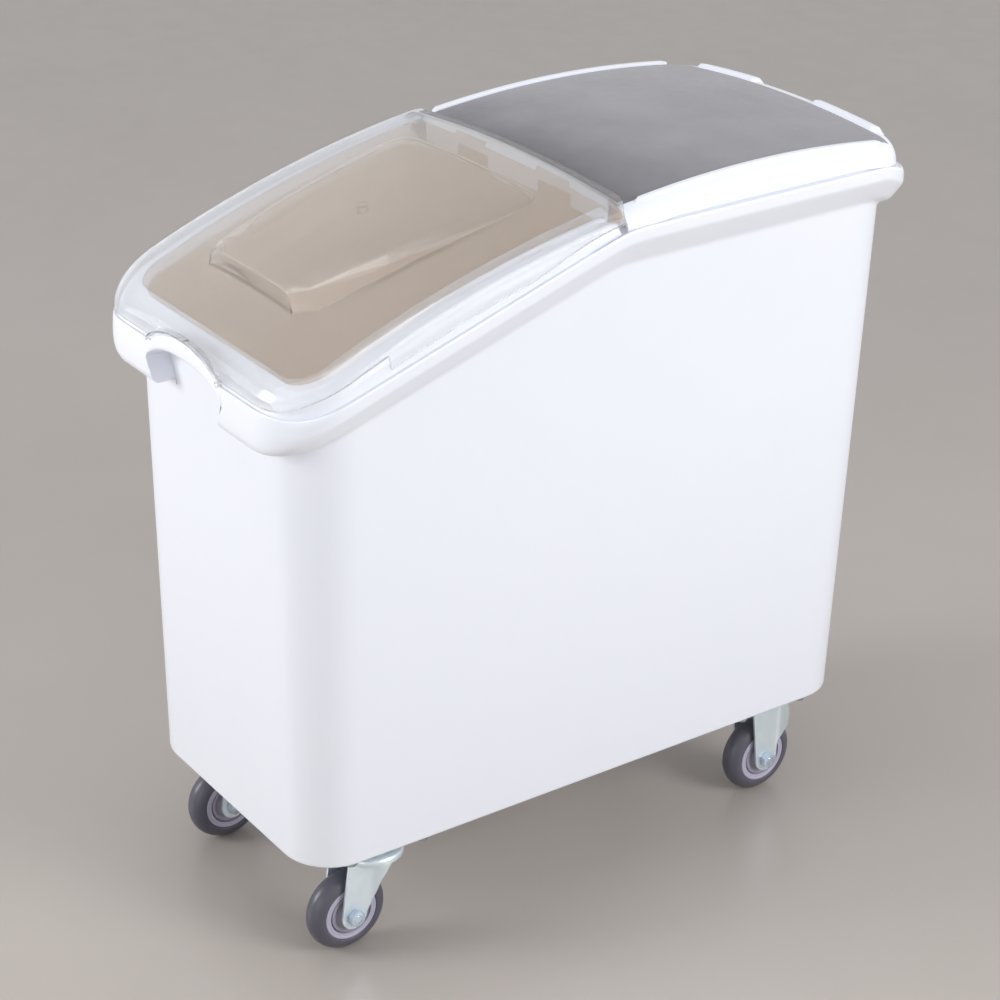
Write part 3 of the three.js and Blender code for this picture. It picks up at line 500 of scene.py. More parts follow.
@dataclass(frozen=True)
class LidPanelFinish(Finish):
    """White polypropylene whose crowned panel between the rails is a satin grey, darkened towards the seam by painted
    shade.
    """

    panel: str = "8b8a8f"
    panel_shade: str = "a09ea3"
    # Painted shade at the seam, which lightens towards the rear
    painted_seam_shade: str = "626167"
    seam_start_mm: float = -20.0
    seam_end_mm: float = 170.0
    half_width_mm: float = 150.4
    rear_mm: float = 309.0
    edge_mm: float = 0.5

    def paint(
        self, tree: bpy.types.NodeTree, place: bpy.types.NodeSocket, shader: bpy.types.Node
    ) -> None:
        """Lay the white shell, then the grey panel inside its edges, darkened by painted shade towards the seam."""
        super().paint(tree, place, shader)
        axes = add_node(tree, "ShaderNodeSeparateXYZ", {"Vector": place})
        side = add_node(tree, "ShaderNodeMath", {"0": axes.outputs["X"]}, operation="ABSOLUTE")
        inside = self.edge(tree, side.outputs[0], self.half_width_mm)
        behind = self.edge(tree, axes.outputs["Y"], self.rear_mm)
        both = add_node(tree, "ShaderNodeMath", {"0": inside, "1": behind}, operation="MULTIPLY")
        upward = add_node(tree, "ShaderNodeNewGeometry", {})
        normal = add_node(tree, "ShaderNodeSeparateXYZ", {"Vector": upward.outputs["Normal"]})
        top = add_node(
            tree,
            "ShaderNodeMapRange",
            {"Value": normal.outputs["Z"], "From Min": 0.5, "From Max": 0.6},
        )
        region = add_node(
            tree, "ShaderNodeMath", {"0": both.outputs[0], "1": top.outputs["Result"]}, operation="MULTIPLY"
        )
        cloud = self.noise(tree, place, self.patch_mm, 2.0)
        grey = self.mix(tree, cloud, self.panel, self.panel_shade)
        # Painted shade: the grey darkens towards the seam at the lid's front, with a cloudy edge
        wave = add_node(
            tree,
            "ShaderNodeMath",
            {"0": cloud, "1": self.patch_mm * MM, "2": axes.outputs["Y"]},
            operation="MULTIPLY_ADD",
        )
        away = add_node(
            tree,
            "ShaderNodeMapRange",
            {
                "Value": wave.outputs[0],
                "From Min": self.seam_start_mm * MM,
                "From Max": self.seam_end_mm * MM,
            },
            interpolation_type="SMOOTHSTEP",
        )
        deep = add_node(
            tree,
            "ShaderNodeMix",
            {"0": away.outputs["Result"], "6": linear(self.painted_seam_shade), "7": grey},
            data_type="RGBA",
        )
        grey = deep.outputs[2]
        white = shader.inputs["Base Color"].links[0].from_socket
        colour = add_node(
            tree, "ShaderNodeMix", {"0": region.outputs[0], "6": white, "7": grey}, data_type="RGBA"
        )
        tree.links.new(colour.outputs[2], shader.inputs["Base Color"])

    def edge(
        self, tree: bpy.types.NodeTree, value: bpy.types.NodeSocket, limit_mm: float
    ) -> bpy.types.NodeSocket:
        """Give 1 below a limit in millimetres and 0 above it, with a soft edge."""
        made = add_node(
            tree,
            "ShaderNodeMapRange",
            {
                "Value": value,
                "From Min": (limit_mm - self.edge_mm) * MM,
                "From Max": (limit_mm + self.edge_mm) * MM,
                "To Min": 1.0,
                "To Max": 0.0,
            },
        )
        return made.outputs["Result"]


@dataclass(frozen=True)
class ClearFinish(Finish):
    """Clear polycarbonate sheet: polished, with the faint ripple of a moulding."""

    body: float = 0.3

    def material(self) -> bpy.types.Material:
        """Build the clear material once, and return it."""
        made = super().material()
        shader = made.node_tree.nodes["Principled BSDF"]
        shader.inputs["Transmission Weight"].default_value = 1.0
        tree = made.node_tree
        slope = add_node(tree, "ShaderNodeLayerWeight", {"Blend": 0.5})
        cover = add_node(
            tree,
            "ShaderNodeMapRange",
            {"Value": slope.outputs["Facing"], "From Min": 0.3, "From Max": 0.8, "To Min": self.body, "To Max": 1.0},
        )
        tree.links.new(cover.outputs["Result"], shader.inputs["Alpha"])
        return made


# White polypropylene: bright, slightly cool, with the soft gloss of a polished mould
WHITE_SHELL = Finish(
    "polypropylene_moulded_white", "eff2fa", "ecf0f9", 0.33, 0.03, ior=1.49,
    grain_depth_mm=0, swell_depth_mm=0.012,
)
# The same plastic inside: matt, creamy with a painted warm reflection of the floor, and lit by a painted glow from
# emission
INSIDE_SHELL = Finish(
    "polypropylene_inside_painted_glow", "f2eae2", "eee5dc", 0.5, 0.04, ior=1.49,
    painted_glow=0.1, patch_mm=120, grain_depth_mm=0, swell_depth_mm=0.012,
)
# The same plastic for the rear lid, whose panel is grey, with painted shade darkening it towards the seam
REAR_SHELL = LidPanelFinish(
    "polypropylene_lid_painted_seam_shade", "eff2fa", "ecf0f9", 0.34, 0.03, ior=1.49,
    grain_depth_mm=0, swell_depth_mm=0.012,
)
# Clear polycarbonate: sharp reflections and bright edges
CLEAR_SHEET = ClearFinish(
    "polycarbonate_moulded_clear",
    "ffffff",
    "fdfefe",
    0.02,
    0.01,
    ior=1.5,
    swell_mm=45,
    swell_depth_mm=0.008,
    grain_depth_mm=0,
)
# Zinc plate with a blue passivation: bright, with a faint cloud of cooler tone
ZINC = Finish(
    "steel_pressed_blue_zinc",
    "e9f3f8",
    "d8e6ee",
    0.34,
    0.03,
    metallic=0.6,
    patch_mm=14,
    grain_depth_mm=0,
    swell_mm=16,
    swell_depth_mm=0.002,
)
# Zinc-plated fasteners and rings: a little darker and glossier than the pressings
FASTENER = Finish(
    "steel_turned_zinc",
    "c2cdd4",
    "a3b0b8",
    0.2,
    0.04,
    metallic=1.0,
    patch_mm=5,
    grain_depth_mm=0,
    swell_mm=6,
    swell_depth_mm=0.003,
)
# Thermoplastic rubber tread: dark grey with a violet cast and a satin gloss
TREAD = Finish(
    "thermoplastic_rubber_grey",
    "5a5965",
    "4f4e59",
    0.33,
    0.03,
    ior=1.5,
    patch_mm=18,
    grain_depth_mm=0,
    swell_mm=12,
    swell_depth_mm=0.03,
)
# Wheel centre: grey polypropylene with a lilac cast
HUB = Finish(
    "polypropylene_moulded_hub_grey",
    "a19dac",
    "938f9f",
    0.42,
    0.05,
    ior=1.49,
    patch_mm=10,
    grain_mm=0.6,
    grain_depth_mm=0.006,
    swell_mm=8,
    swell_depth_mm=0.01,
)
# The ring round the wheel centre: a paler lilac polyurethane
HUB_RING = Finish(
    "polyurethane_moulded_lilac",
    "b9b5c8",
    "aeaabf",
    0.38,
    0.05,
    ior=1.49,
    patch_mm=10,
    grain_mm=0.6,
    grain_depth_mm=0.006,
    swell_mm=8,
    swell_depth_mm=0.01,
)
# Axle bolts and nuts: bright zinc with a blue to violet tint
BOLT = Finish(
    "steel_hexagon_blue_zinc",
    "dceaf2",
    "c0cce2",
    0.2,
    0.04,
    metallic=0.75,
    patch_mm=4,
    grain_depth_mm=0,
    swell_mm=5,
    swell_depth_mm=0.003,
)


def dress(piece: bpy.types.Object, finish: Finish) -> None:
    """Give a piece one finish all over."""
    piece.data.materials.clear()
    piece.data.materials.append(finish.material())
    for polygon in piece.data.polygons:
        polygon.material_index = 0


def place_piece(
    piece: bpy.types.Object, finish: Finish, body: str, slot: str, nodes: Sequence[str] = ()
) -> bpy.types.Object:
    """Dress a finished piece, and make it ride on its body.

    Args:
        piece: The finished mesh object.
        finish: What it is made of.
        body: The body that it moves with.
        slot: The record's material slot; not used.
        nodes: The solids that it stands for.

    Returns:
        The same piece.
    """
    dress(piece, finish)
    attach(piece, body)
    if nodes:
        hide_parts(*nodes)
    logger.info("%s rides on %s, %d faces", piece.name, body, len(piece.data.polygons))
    return piece


# Shared sizes of the bin, in millimetres


@dataclass(frozen=True)
class Curve:
    """The arc that the rim and both lids follow, and the ledge that runs under it."""

    centre_y: float = 171.3
    centre_z: float = -422.4
    shelf: float = 1110.0
    gutter: float = 1097.4
    slope: float = 0.335
    slope_y: float = -60.0
    slope_z: float = 650.0
    level_y: float = 24.0
    level_z: float = 668.6
    level_rise: float = 0.014
    bend: float = 4.0
    rear_drop: float = 12.0
    rear_drop_start: float = 285.0
    rear_drop_end: float = 342.0
    band_height: float = 12.0
    gutter_step: float = 0.6

    def height(self, y: float, radius: float) -> float:
        """Give the height of the arc of a radius at a y."""
        return self.centre_z + math.sqrt(radius**2 - (y - self.centre_y) ** 2)

    def ledge(self, y: float) -> float:
        """Give the height of the ledge's outer edge at a y."""
        slope = self.slope_z + self.slope * (y - self.slope_y)
        level = self.level_z + self.level_rise * (y - self.level_y)
        softer = (slope + level - math.hypot(slope - level, self.bend)) / 2
        drop = (y - self.rear_drop_start) / (self.rear_drop_end - self.rear_drop_start)
        return softer - self.rear_drop * smoothstep(drop)

    def gutter_height(self, y: float) -> float:
        """Give the height of the gutter's floor at a y."""
        return min(self.ledge(y) - self.gutter_step, self.height(y, self.gutter))

    def band_foot(self, y: float) -> float:
        """Give the height of the band's lower edge at a y."""
        return self.ledge(y) - self.band_height


CURVE = Curve()


@dataclass(frozen=True)
class Station:
    """A point of a plan outline with the direction that it faces."""

    x: float
    y: float
    nx: float
    ny: float

    def facing(self, side: float, front: float, rear: float) -> float:
        """Mix three values by where the outline faces."""
        share = self.ny * self.ny
        return side + share * ((front if self.ny < 0 else rear) - side)


@dataclass(frozen=True)
class Plan:
    """A rounded rectangle of stations, with set places along its straight sides."""

    half_x: float
    front: float
    rear: float
    radius: float
    side_places: tuple[float, ...]
    end_places: tuple[float, ...]
    corner_steps: int = 12

    def stations(self) -> list[Station]:
        """List the stations round the whole outline."""
        rear_y, front_y = self.rear - self.radius, self.radius - self.front
        points = [Station(self.half_x, y, 1, 0) for y in self.side_places]
        points += self.corner(1, rear_y, 0)
        points += [Station(x, self.rear, 0, 1) for x in reversed(self.end_places)]
        points += self.corner(-1, rear_y, 1)
        points += [Station(-self.half_x, y, -1, 0) for y in reversed(self.side_places)]
        points += self.corner(-1, front_y, 2)
        points += [Station(x, -self.front, 0, -1) for x in self.end_places]
        points += self.corner(1, front_y, 3)
        return points

    def corner(self, hand: int, y: float, turn: int) -> list[Station]:
        """List the stations of one rounded corner."""
        points = []
        for i in range(self.corner_steps + 1):
            angle = (turn + i / self.corner_steps) * math.pi / 2
            nx, ny = math.cos(angle), math.sin(angle)
            points.append(
                Station(hand * (self.half_x - self.radius) + self.radius * nx, y + self.radius * ny, nx, ny)
            )
        return points


def spread(start: float, end: float, count: int) -> list[float]:
    """Give evenly spaced numbers from start to end."""
    return [lerp(start, end, i / (count - 1)) for i in range(count)]


def arch_share(share: float) -> float:
    """Give the arch over the finger recess: 1 in its middle, 0 at its ends and beyond."""
    return (1 - min(1.0, abs(share)) ** 2.2) ** 0.8


@dataclass
class BinBody:
    """The white bin: wall, rolled rim, gutter, shelf and mouth in one skin."""

    name: str = "bin_shell"
    underside: float = 115.0
    rim_half_width: float = 174.0
    rim_half_length: float = 344.0
    rim_corner: float = 61.0
    foot: tuple[float, float, float, float] = (149.0, 312.8, 317.8, 48.0)
    head: tuple[float, float, float, float] = (156.9, 323.2, 328.5, 58.0)
    wall_top: float = 640.0
    wall: float = 4.0
    floor_thickness: float = 6.0
    floor_edge: float = 7.0
    foot_rim_width: float = 6.5
    foot_rim_depth: float = 2.0
    foot_rim_round: float = 3.5
    band_runout: float = 25.0
    gutter_outer: float = 2.1
    gutter_inner: float = 5.2
    shoulder_drop: float = 6.0
    shelf_dip: float = 1.8
    bead_width: float = 6.0
    mouth_inset: float = 34.0
    seat_rise: float = 1.2
    fascia_bottom: float = 521.5
    fascia_top: float = 560.9
    rear_foot: float = 620.0
    rear_middle: float = 642.0
    rear_seat: float = 659.4
    recess_half: float = 62.0
    recess_shoulder: float = 545.0
    recess_apex: float = 561.5
    recess_edge: float = 2.0
    recess_wall: float = 4.0
    cusp_reach: float = 3.0
    foot_reach: float = 8.0
    slant_inside: float = 16.0
    slant_outside: float = 30.0
    slant_end: float = -316.0
    slant_runout: float = 60.0
    raise_half: float = 59.0
    raise_height: float = 17.5
    seam_y: float = -5.0
    seam_ramp: float = 5.0
    corner_points: int = 4
    side_places: tuple[float, ...] = field(default_factory=tuple)
    end_places: tuple[float, ...] = field(default_factory=tuple)

    def __post_init__(self) -> None:
        """Set the stations along the sides and the ends."""
        sides = spread(-248, -24, 19) + spread(-18, 2, 9) + spread(10, 262, 20)
        self.side_places = tuple(sides)
        half = spread(0, 54, 14) + [57, 59.5, 61, 62, 62.7, 63.4, 64.2, 65, 66, 67, 68, 69.5, 72, 78, 86, 95]
        self.end_places = tuple([-x for x in reversed(half[1:])] + half)

    # Outlines at a height

    def wall_plan(self, z: float, inset: float) -> list[Station]:
        """List the stations of the tapered wall at a height."""
        share = (z - self.underside) / (self.wall_top - self.underside)
        half_x, front, rear, radius = (
            lerp(low, high, share) - inset for low, high in zip(self.foot, self.head, strict=True)
        )
        return Plan(half_x, front, rear, radius, self.side_places, self.end_places).stations()

    def level_ring(self, z: float, inset: float) -> list[Vector]:
        """Give a level ring of the wall."""
        return [Vector((s.x, s.y, z)) for s in self.wall_plan(z, inset)]

    def wall_ring(self, inset: float, side: Height, front: Height, rear: Height) -> list[Vector]:
        """Give a ring of the wall whose height changes along it."""
        top = self.wall_plan(self.wall_top, inset)
        heights = [s.facing(side(s.x, s.y), front(s.x, s.y), rear(s.x, s.y)) for s in top]
        ring = []
        for i, z in enumerate(heights):
            station = self.wall_plan(z, inset)[i]
            ring.append(Vector((station.x, station.y, z)))
        return ring

    def rim_ring(
        self, side: tuple[float, Height], front: tuple[float, Height], rear: tuple[float, Height]
    ) -> list[Vector]:
        """Give a ring of the rim from an inset and a height for each way it faces."""
        middle = (front[0] + rear[0]) / 2
        plan = Plan(
            self.rim_half_width - side[0],
            self.rim_half_length - side[0],
            self.rim_half_length - side[0],
            self.rim_corner - min(side[0], middle),
            self.side_places,
            self.end_places,
        )
        ring = []
        for s in plan.stations():
            shift = (front[0] - side[0]) if s.ny < 0 else (side[0] - rear[0])
            y = s.y + s.ny * s.ny * shift
            ring.append(Vector((s.x, y, s.facing(side[1](s.x, y), front[1](s.x, y), rear[1](s.x, y)))))
        return ring

    # Heights

    def opening(self, x: float, grow: float) -> float:
        """Give how open the finger recess is at an x: 1 inside, 0 outside."""
        return 1 - smoothstep((abs(x) - self.recess_half - grow) / self.recess_edge)

    def fascia_foot(self, x: float, grow: float = 0.0) -> float:
        """Give the height of the fascia's lower edge, over the recess or beside it."""
        share = min(1.0, abs(x) / (self.recess_half + grow))
        arch = lerp(self.recess_shoulder, self.recess_apex, (1 - share**2.6) ** 0.7) + grow
        return lerp(self.fascia_bottom + grow, arch, self.opening(x, grow))

    def fascia_ledge(self, x: float) -> float:
        """Give the height of the fascia's top, which rises under the lid's arch."""
        return self.fascia_top + self.raise_height * arch_share(x / self.raise_half)

    def on_fascia(self, share: float, offset: float = 0.0, grow: float = 0.0) -> Height:
        """Give heights between the fascia's foot and its ledge."""
        return lambda x, y: lerp(self.fascia_foot(x, grow), self.fascia_ledge(x), share) + offset

    def seat_share(self, y: float) -> float:
        """Give the share of the way from the open mouth to the rear lid's seat."""
        return smoothstep((y - (self.seam_y - 0.3 - 2 * self.seam_ramp)) / self.seam_ramp)

    def shelf(self, drop: float) -> Height:
        """Give the shelf's heights, less a drop."""
        step = self.seat_rise / (self.shoulder_drop + self.seat_rise)
        return lambda x, y: lerp(
            CURVE.height(y, CURVE.shelf - drop),
            CURVE.gutter_height(y) + self.seat_rise - drop * step,
            self.seat_share(y),
        )

    def rear_level(self, drop: float) -> Height:
        """Give the level seat at the rear, less a drop."""
        step = self.seat_rise / (self.shoulder_drop + self.seat_rise)
        return lambda x, y: self.rear_seat + self.seat_rise - drop * step

    @staticmethod
    def at(z: float) -> Height:
        """Give one height everywhere."""
        return lambda x, y: z

    @staticmethod
    def band(offset: float) -> Height:
        """Give heights from the band's lower edge."""
        return lambda x, y: CURVE.band_foot(y) + offset

    def slant(self, point: Vector) -> Vector:
        """Lean the recess' side edges: wide at the shoulder, narrow at the foot."""
        if point.y > self.slant_end:
            return point
        side = abs(point.x)
        inner, outer = self.recess_half - self.slant_inside, self.recess_half + self.slant_outside
        near = smoothstep((side - inner) / self.slant_inside) * smoothstep((outer - side) / self.slant_outside)
        low = smoothstep((self.recess_shoulder - 2 - point.z) / (self.recess_shoulder - self.fascia_bottom - 4))
        low *= smoothstep((point.z - self.fascia_bottom + self.slant_runout) / (self.slant_runout - 4))
        bulge = math.exp(-(((point.z - self.recess_shoulder) / 6) ** 2))
        shift = near * (self.cusp_reach * bulge - self.foot_reach * low)
        return Vector((math.copysign(side + shift, point.x), point.y, point.z))

    # The skin, ring by ring

    def outer(self) -> list[tuple[list[Vector], float]]:
        """List the outer rings from the floor to the mouth, each with its rounding."""
        at, band, fascia, shelf, rear = self.at, self.band, self.on_fascia, self.shelf, self.rear_level
        runout = self.band_runout - self.wall - 3
        seat = self.rear_seat
        ledge: Height = lambda x, y: CURVE.ledge(y)
        gutter: Height = lambda x, y: CURVE.gutter_height(y)
        out, inn = self.gutter_outer, self.gutter_inner
        lip = self.mouth_inset
        bead = lip - self.bead_width
        rim = self.rim_ring
        return [
            (self.level_ring(self.underside, self.foot_rim_width + 6), 0.0),
            (self.level_ring(self.underside, self.foot_rim_width + 1), 1.0),
            (self.level_ring(self.underside - self.foot_rim_depth, self.foot_rim_width), 1.0),
            (self.level_ring(self.underside - self.foot_rim_depth, 0), self.foot_rim_round),
            (self.level_ring(self.fascia_bottom - self.slant_runout, 0), 0.0),
            (self.level_ring(self.fascia_bottom - self.slant_runout / 2, 0), 0.0),
            (self.level_ring(self.fascia_bottom - 4, 0), 0.0),
            (self.wall_ring(0, band(-self.band_runout), fascia(0, 2), at(self.rear_foot)), 4.0),
            (rim((12, band(-runout)), (12, fascia(0)), (9, at(self.rear_foot + 2))), 4.0),
            (rim((6, band(-runout / 2)), (3, fascia(0, 1)), (3.5, at(self.rear_foot + 9))), 4.0),
            (rim((1.5, band(-2)), (0, fascia(0.2)), (0.5, at(self.rear_middle - 5))), 3.0),
            (rim((0, band(1)), (0, fascia(0.5)), (0, at(self.rear_middle))), 2.0),
            (rim((0, lambda x, y: CURVE.ledge(y) - 2), (0.8, fascia(0.8)), (1, at(seat - 7))), 2.0),
            (rim((0.7, ledge), (1.6, fascia(1, -1)), (3.5, at(seat - 1))), 0.8),
            (rim((out, ledge), (out, fascia(1, 0.6)), (6, at(seat + 0.6))), 0.5),
            (rim((out, gutter), (out, fascia(1)), (6, at(seat))), 0.5),
            (rim((inn, gutter), (inn, fascia(1)), (9, at(seat))), 0.8),
            (rim((inn, shelf(self.shoulder_drop)), (inn, fascia(1, 1)), (9, rear(self.shoulder_drop))), 2.0),
            (rim((inn + 2, shelf(1.5)), (inn + 2, shelf(1.5)), (11, rear(1.5))), 2.5),
            (rim((inn + 6, shelf(0)), (inn + 6, shelf(0)), (15, rear(0))), 3.0),
            (rim((bead - 5, shelf(self.shelf_dip)), (bead - 5, shelf(self.shelf_dip)), (bead - 5, rear(0))), 5.0),
            (rim((bead + 1, shelf(0.4)), (bead + 1, shelf(0.4)), (bead + 1, rear(0))), 2.0),
            (rim((lip - 1.5, shelf(0)), (lip - 1.5, shelf(0)), (lip - 1.5, rear(0))), 1.5),
            (rim((lip, shelf(1.5)), (lip, shelf(1.5)), (lip, rear(1.5))), 1.5),
        ]

    def inner(self) -> list[tuple[list[Vector], float]]:
        """List the inner rings from the mouth down to the inner floor."""
        at, band, fascia = self.at, self.band, self.on_fascia
        under: Callable[[float], Height] = lambda drop: lambda x, y: self.shelf(0)(x, y) - drop
        behind: Callable[[float], Height] = lambda drop: at(self.rear_seat + self.seat_rise - drop)
        lip, wall, seat, grow = self.mouth_inset, self.wall, self.rear_seat, self.recess_wall
        runout = self.band_runout - wall - 3
        rim = self.rim_ring
        channel: Height = lambda x, y: CURVE.gutter_height(y) - wall - 1
        return [
            (rim((lip, under(wall + 1)), (lip, under(wall + 1)), (lip, behind(wall))), 1.5),
            (rim((15, under(wall + 1.4)), (15, under(wall + 1.4)), (17, behind(wall + 0.6))), 4.0),
            (rim((9.6, under(wall + 3)), (9.6, under(wall + 2)), (13, behind(wall + 1.6))), 1.0),
            (rim((9.6, channel), (7.5, fascia(1, -wall, grow)), (8, at(seat - wall - 1))), 1.0),
            (rim((4.4, band(4)), (4.6, fascia(0.7, 0, grow)), (4.6, at(seat - wall - 6))), 1.0),
            (rim((4.2, band(0)), (4, fascia(0.5, 0, grow)), (4, at(self.rear_middle))), 1.0),
            (rim((6.5, band(-4)), (4.4, fascia(0.25, 0, grow)), (5.5, at(self.rear_middle - 6))), 1.0),
            (rim((14, band(2 - runout)), (12, fascia(0, 0.5, grow)), (12, at(self.rear_foot + 7))), 1.0),
            (self.wall_ring(wall, band(-self.band_runout - 1), fascia(0, 0, grow), at(self.rear_foot + 2)), 2.0),
            (self.level_ring(self.fascia_bottom - 4, wall), 0.0),
            (self.level_ring(self.fascia_bottom - self.slant_runout / 2, wall), 0.0),
            (self.level_ring(self.fascia_bottom - self.slant_runout, wall), 0.0),
            (self.level_ring(self.underside + self.floor_thickness, wall), self.floor_edge),
            (self.level_ring(self.underside + self.floor_thickness, wall + self.floor_edge + 4), 0.0),
        ]

    def build(self) -> bpy.types.Object:
        """Model the bin and make it stand for its solid."""
        rings = self.outer() + self.inner()
        radii = [radius for ring, radius in rings]
        lines = [
            [self.slant(p) for p in rounded([ring[i] for ring, radius in rings], radii, self.corner_points)]
            for i in range(len(rings[0][0]))
        ]
        first_inner_row = 1 + self.corner_points * (len(self.outer()) - 1)
        piece = sheet_of(self.name, list(zip(*lines, strict=True)), closed=True, second_from=first_inner_row)
        cap_holes(piece)
        smooth(piece, 50)
        inner = [p.material_index == 1 or self.is_inner_floor(p) for p in piece.data.polygons]
        place_piece(piece, WHITE_SHELL, "bin", "white_shell", ["bin_body"])
        # The inside faces take a creamy painted warm reflection and a painted glow
        piece.data.materials.append(INSIDE_SHELL.material())
        piece.data.polygons.foreach_set("material_index", [int(i) for i in inner])
        return piece

    def is_inner_floor(self, polygon: bpy.types.MeshPolygon) -> bool:
        """Tell whether a face is the cap of the inner floor."""
        return polygon.normal.z > 0.9 and polygon.center.z < (self.underside + 30) * MM


@dataclass
class LidShell:
    """A crowned sheet over a U of stations: a skirt, a rounded shoulder and a crown."""

    half_x: float
    end: float
    open_y: float
    skirt_open_y: float
    radius: float
    crown: float
    fall: float
    fall_at: float
    shoulder_across: float
    shoulder_down: float
    thickness: float
    hand: int
    squareness: float = 2.3
    shoulder_steps: int = 14
    side_steps: int = 60
    end_steps: int = 44
    corner_steps: int = 14
    crown_step: float = 9.0
    foot_clearance: float = 0.06
    extra_sides: tuple[float, ...] = ()

    def crown_height(self, x: float, y: float, drop: float = 0.0) -> float:
        """Give the height of the crown at a point, less a drop."""
        return CURVE.height(y, self.crown - self.fall * (x / self.fall_at) ** 2 - drop)

    def stations(self, inset: float) -> list[Station]:
        """List the stations of the open outline at an inset, from one open end to the other."""
        half_x, end = self.half_x - inset, self.end - inset
        radius = max(self.radius - inset, 0.0)
        corner_y = end - radius
        full = self.end - self.radius
        low, high = self.hand * self.open_y, full
        sides = [self.hand * y for y in spread(low, full, self.side_steps)]
        sides = sorted({*sides, *self.extra_sides}, key=lambda y: self.hand * y)
        first = self.hand * lerp(self.skirt_open_y, self.open_y, smoothstep(inset / self.shoulder_across))
        sides = [self.hand * lerp(first, corner_y, (self.hand * y - low) / (high - low)) for y in sides]
        ends = spread(-1, 1, self.end_steps)
        right = [Station(half_x, y, 1, 0) for y in sides]
        turn = []
        for i in range(1, self.corner_steps):
            angle = i / self.corner_steps * math.pi / 2
            nx, ny = math.cos(angle), math.sin(angle)
            turn.append(
                Station(half_x - radius + radius * nx, self.hand * (corner_y + radius * ny), nx, self.hand * ny)
            )
        across = [Station(-share * (half_x - radius), self.hand * end, 0, self.hand) for share in ends]
        half = right + turn
        mirrored = [Station(-s.x, s.y, -s.nx, s.ny) for s in reversed(half)]
        return half + across + mirrored

    def skin(self, name: str, lower: Callable[[Station], float]) -> bpy.types.Object:
        """Model the sheet down to a lower edge, and give it its thickness.

        Args:
            name: The new object's name.
            lower: Gives the height of the lower edge at a station.

        Returns:
            The closed shell.
        """
        foot = [Vector((s.x, s.y, lower(s))) for s in self.stations(0)]
        rings = [foot]
        for i in range(self.shoulder_steps + 1):
            angle = i / self.shoulder_steps * math.pi / 2
            power = 2 / self.squareness
            inset = self.shoulder_across * (1 - math.cos(angle) ** power)
            drop = self.shoulder_down * (1 - math.sin(angle) ** power)
            clear = self.foot_clearance * (i + 1)
            ring = self.crown_ring(inset, drop)
            rings.append([Vector((p.x, p.y, max(p.z, f.z + clear))) for p, f in zip(ring, foot, strict=True)])
        count = round((self.half_x - self.shoulder_across) / self.crown_step)
        for i in range(1, count + 1):
            rings.append(self.crown_ring(lerp(self.shoulder_across, self.half_x, i / count), 0.0))
        piece = sheet_of(name, rings, closed=False)
        tidy_mesh(piece, outward=True, merge=1e-5)
        face_up(piece)
        modify(piece, "SOLIDIFY", thickness=self.thickness * MM, offset=-1.0)
        return piece

    def crown_ring(self, inset: float, drop: float) -> list[Vector]:
        """Give one ring of the shoulder or the crown."""
        return [Vector((s.x, s.y, self.crown_height(s.x, s.y, drop))) for s in self.stations(inset)]


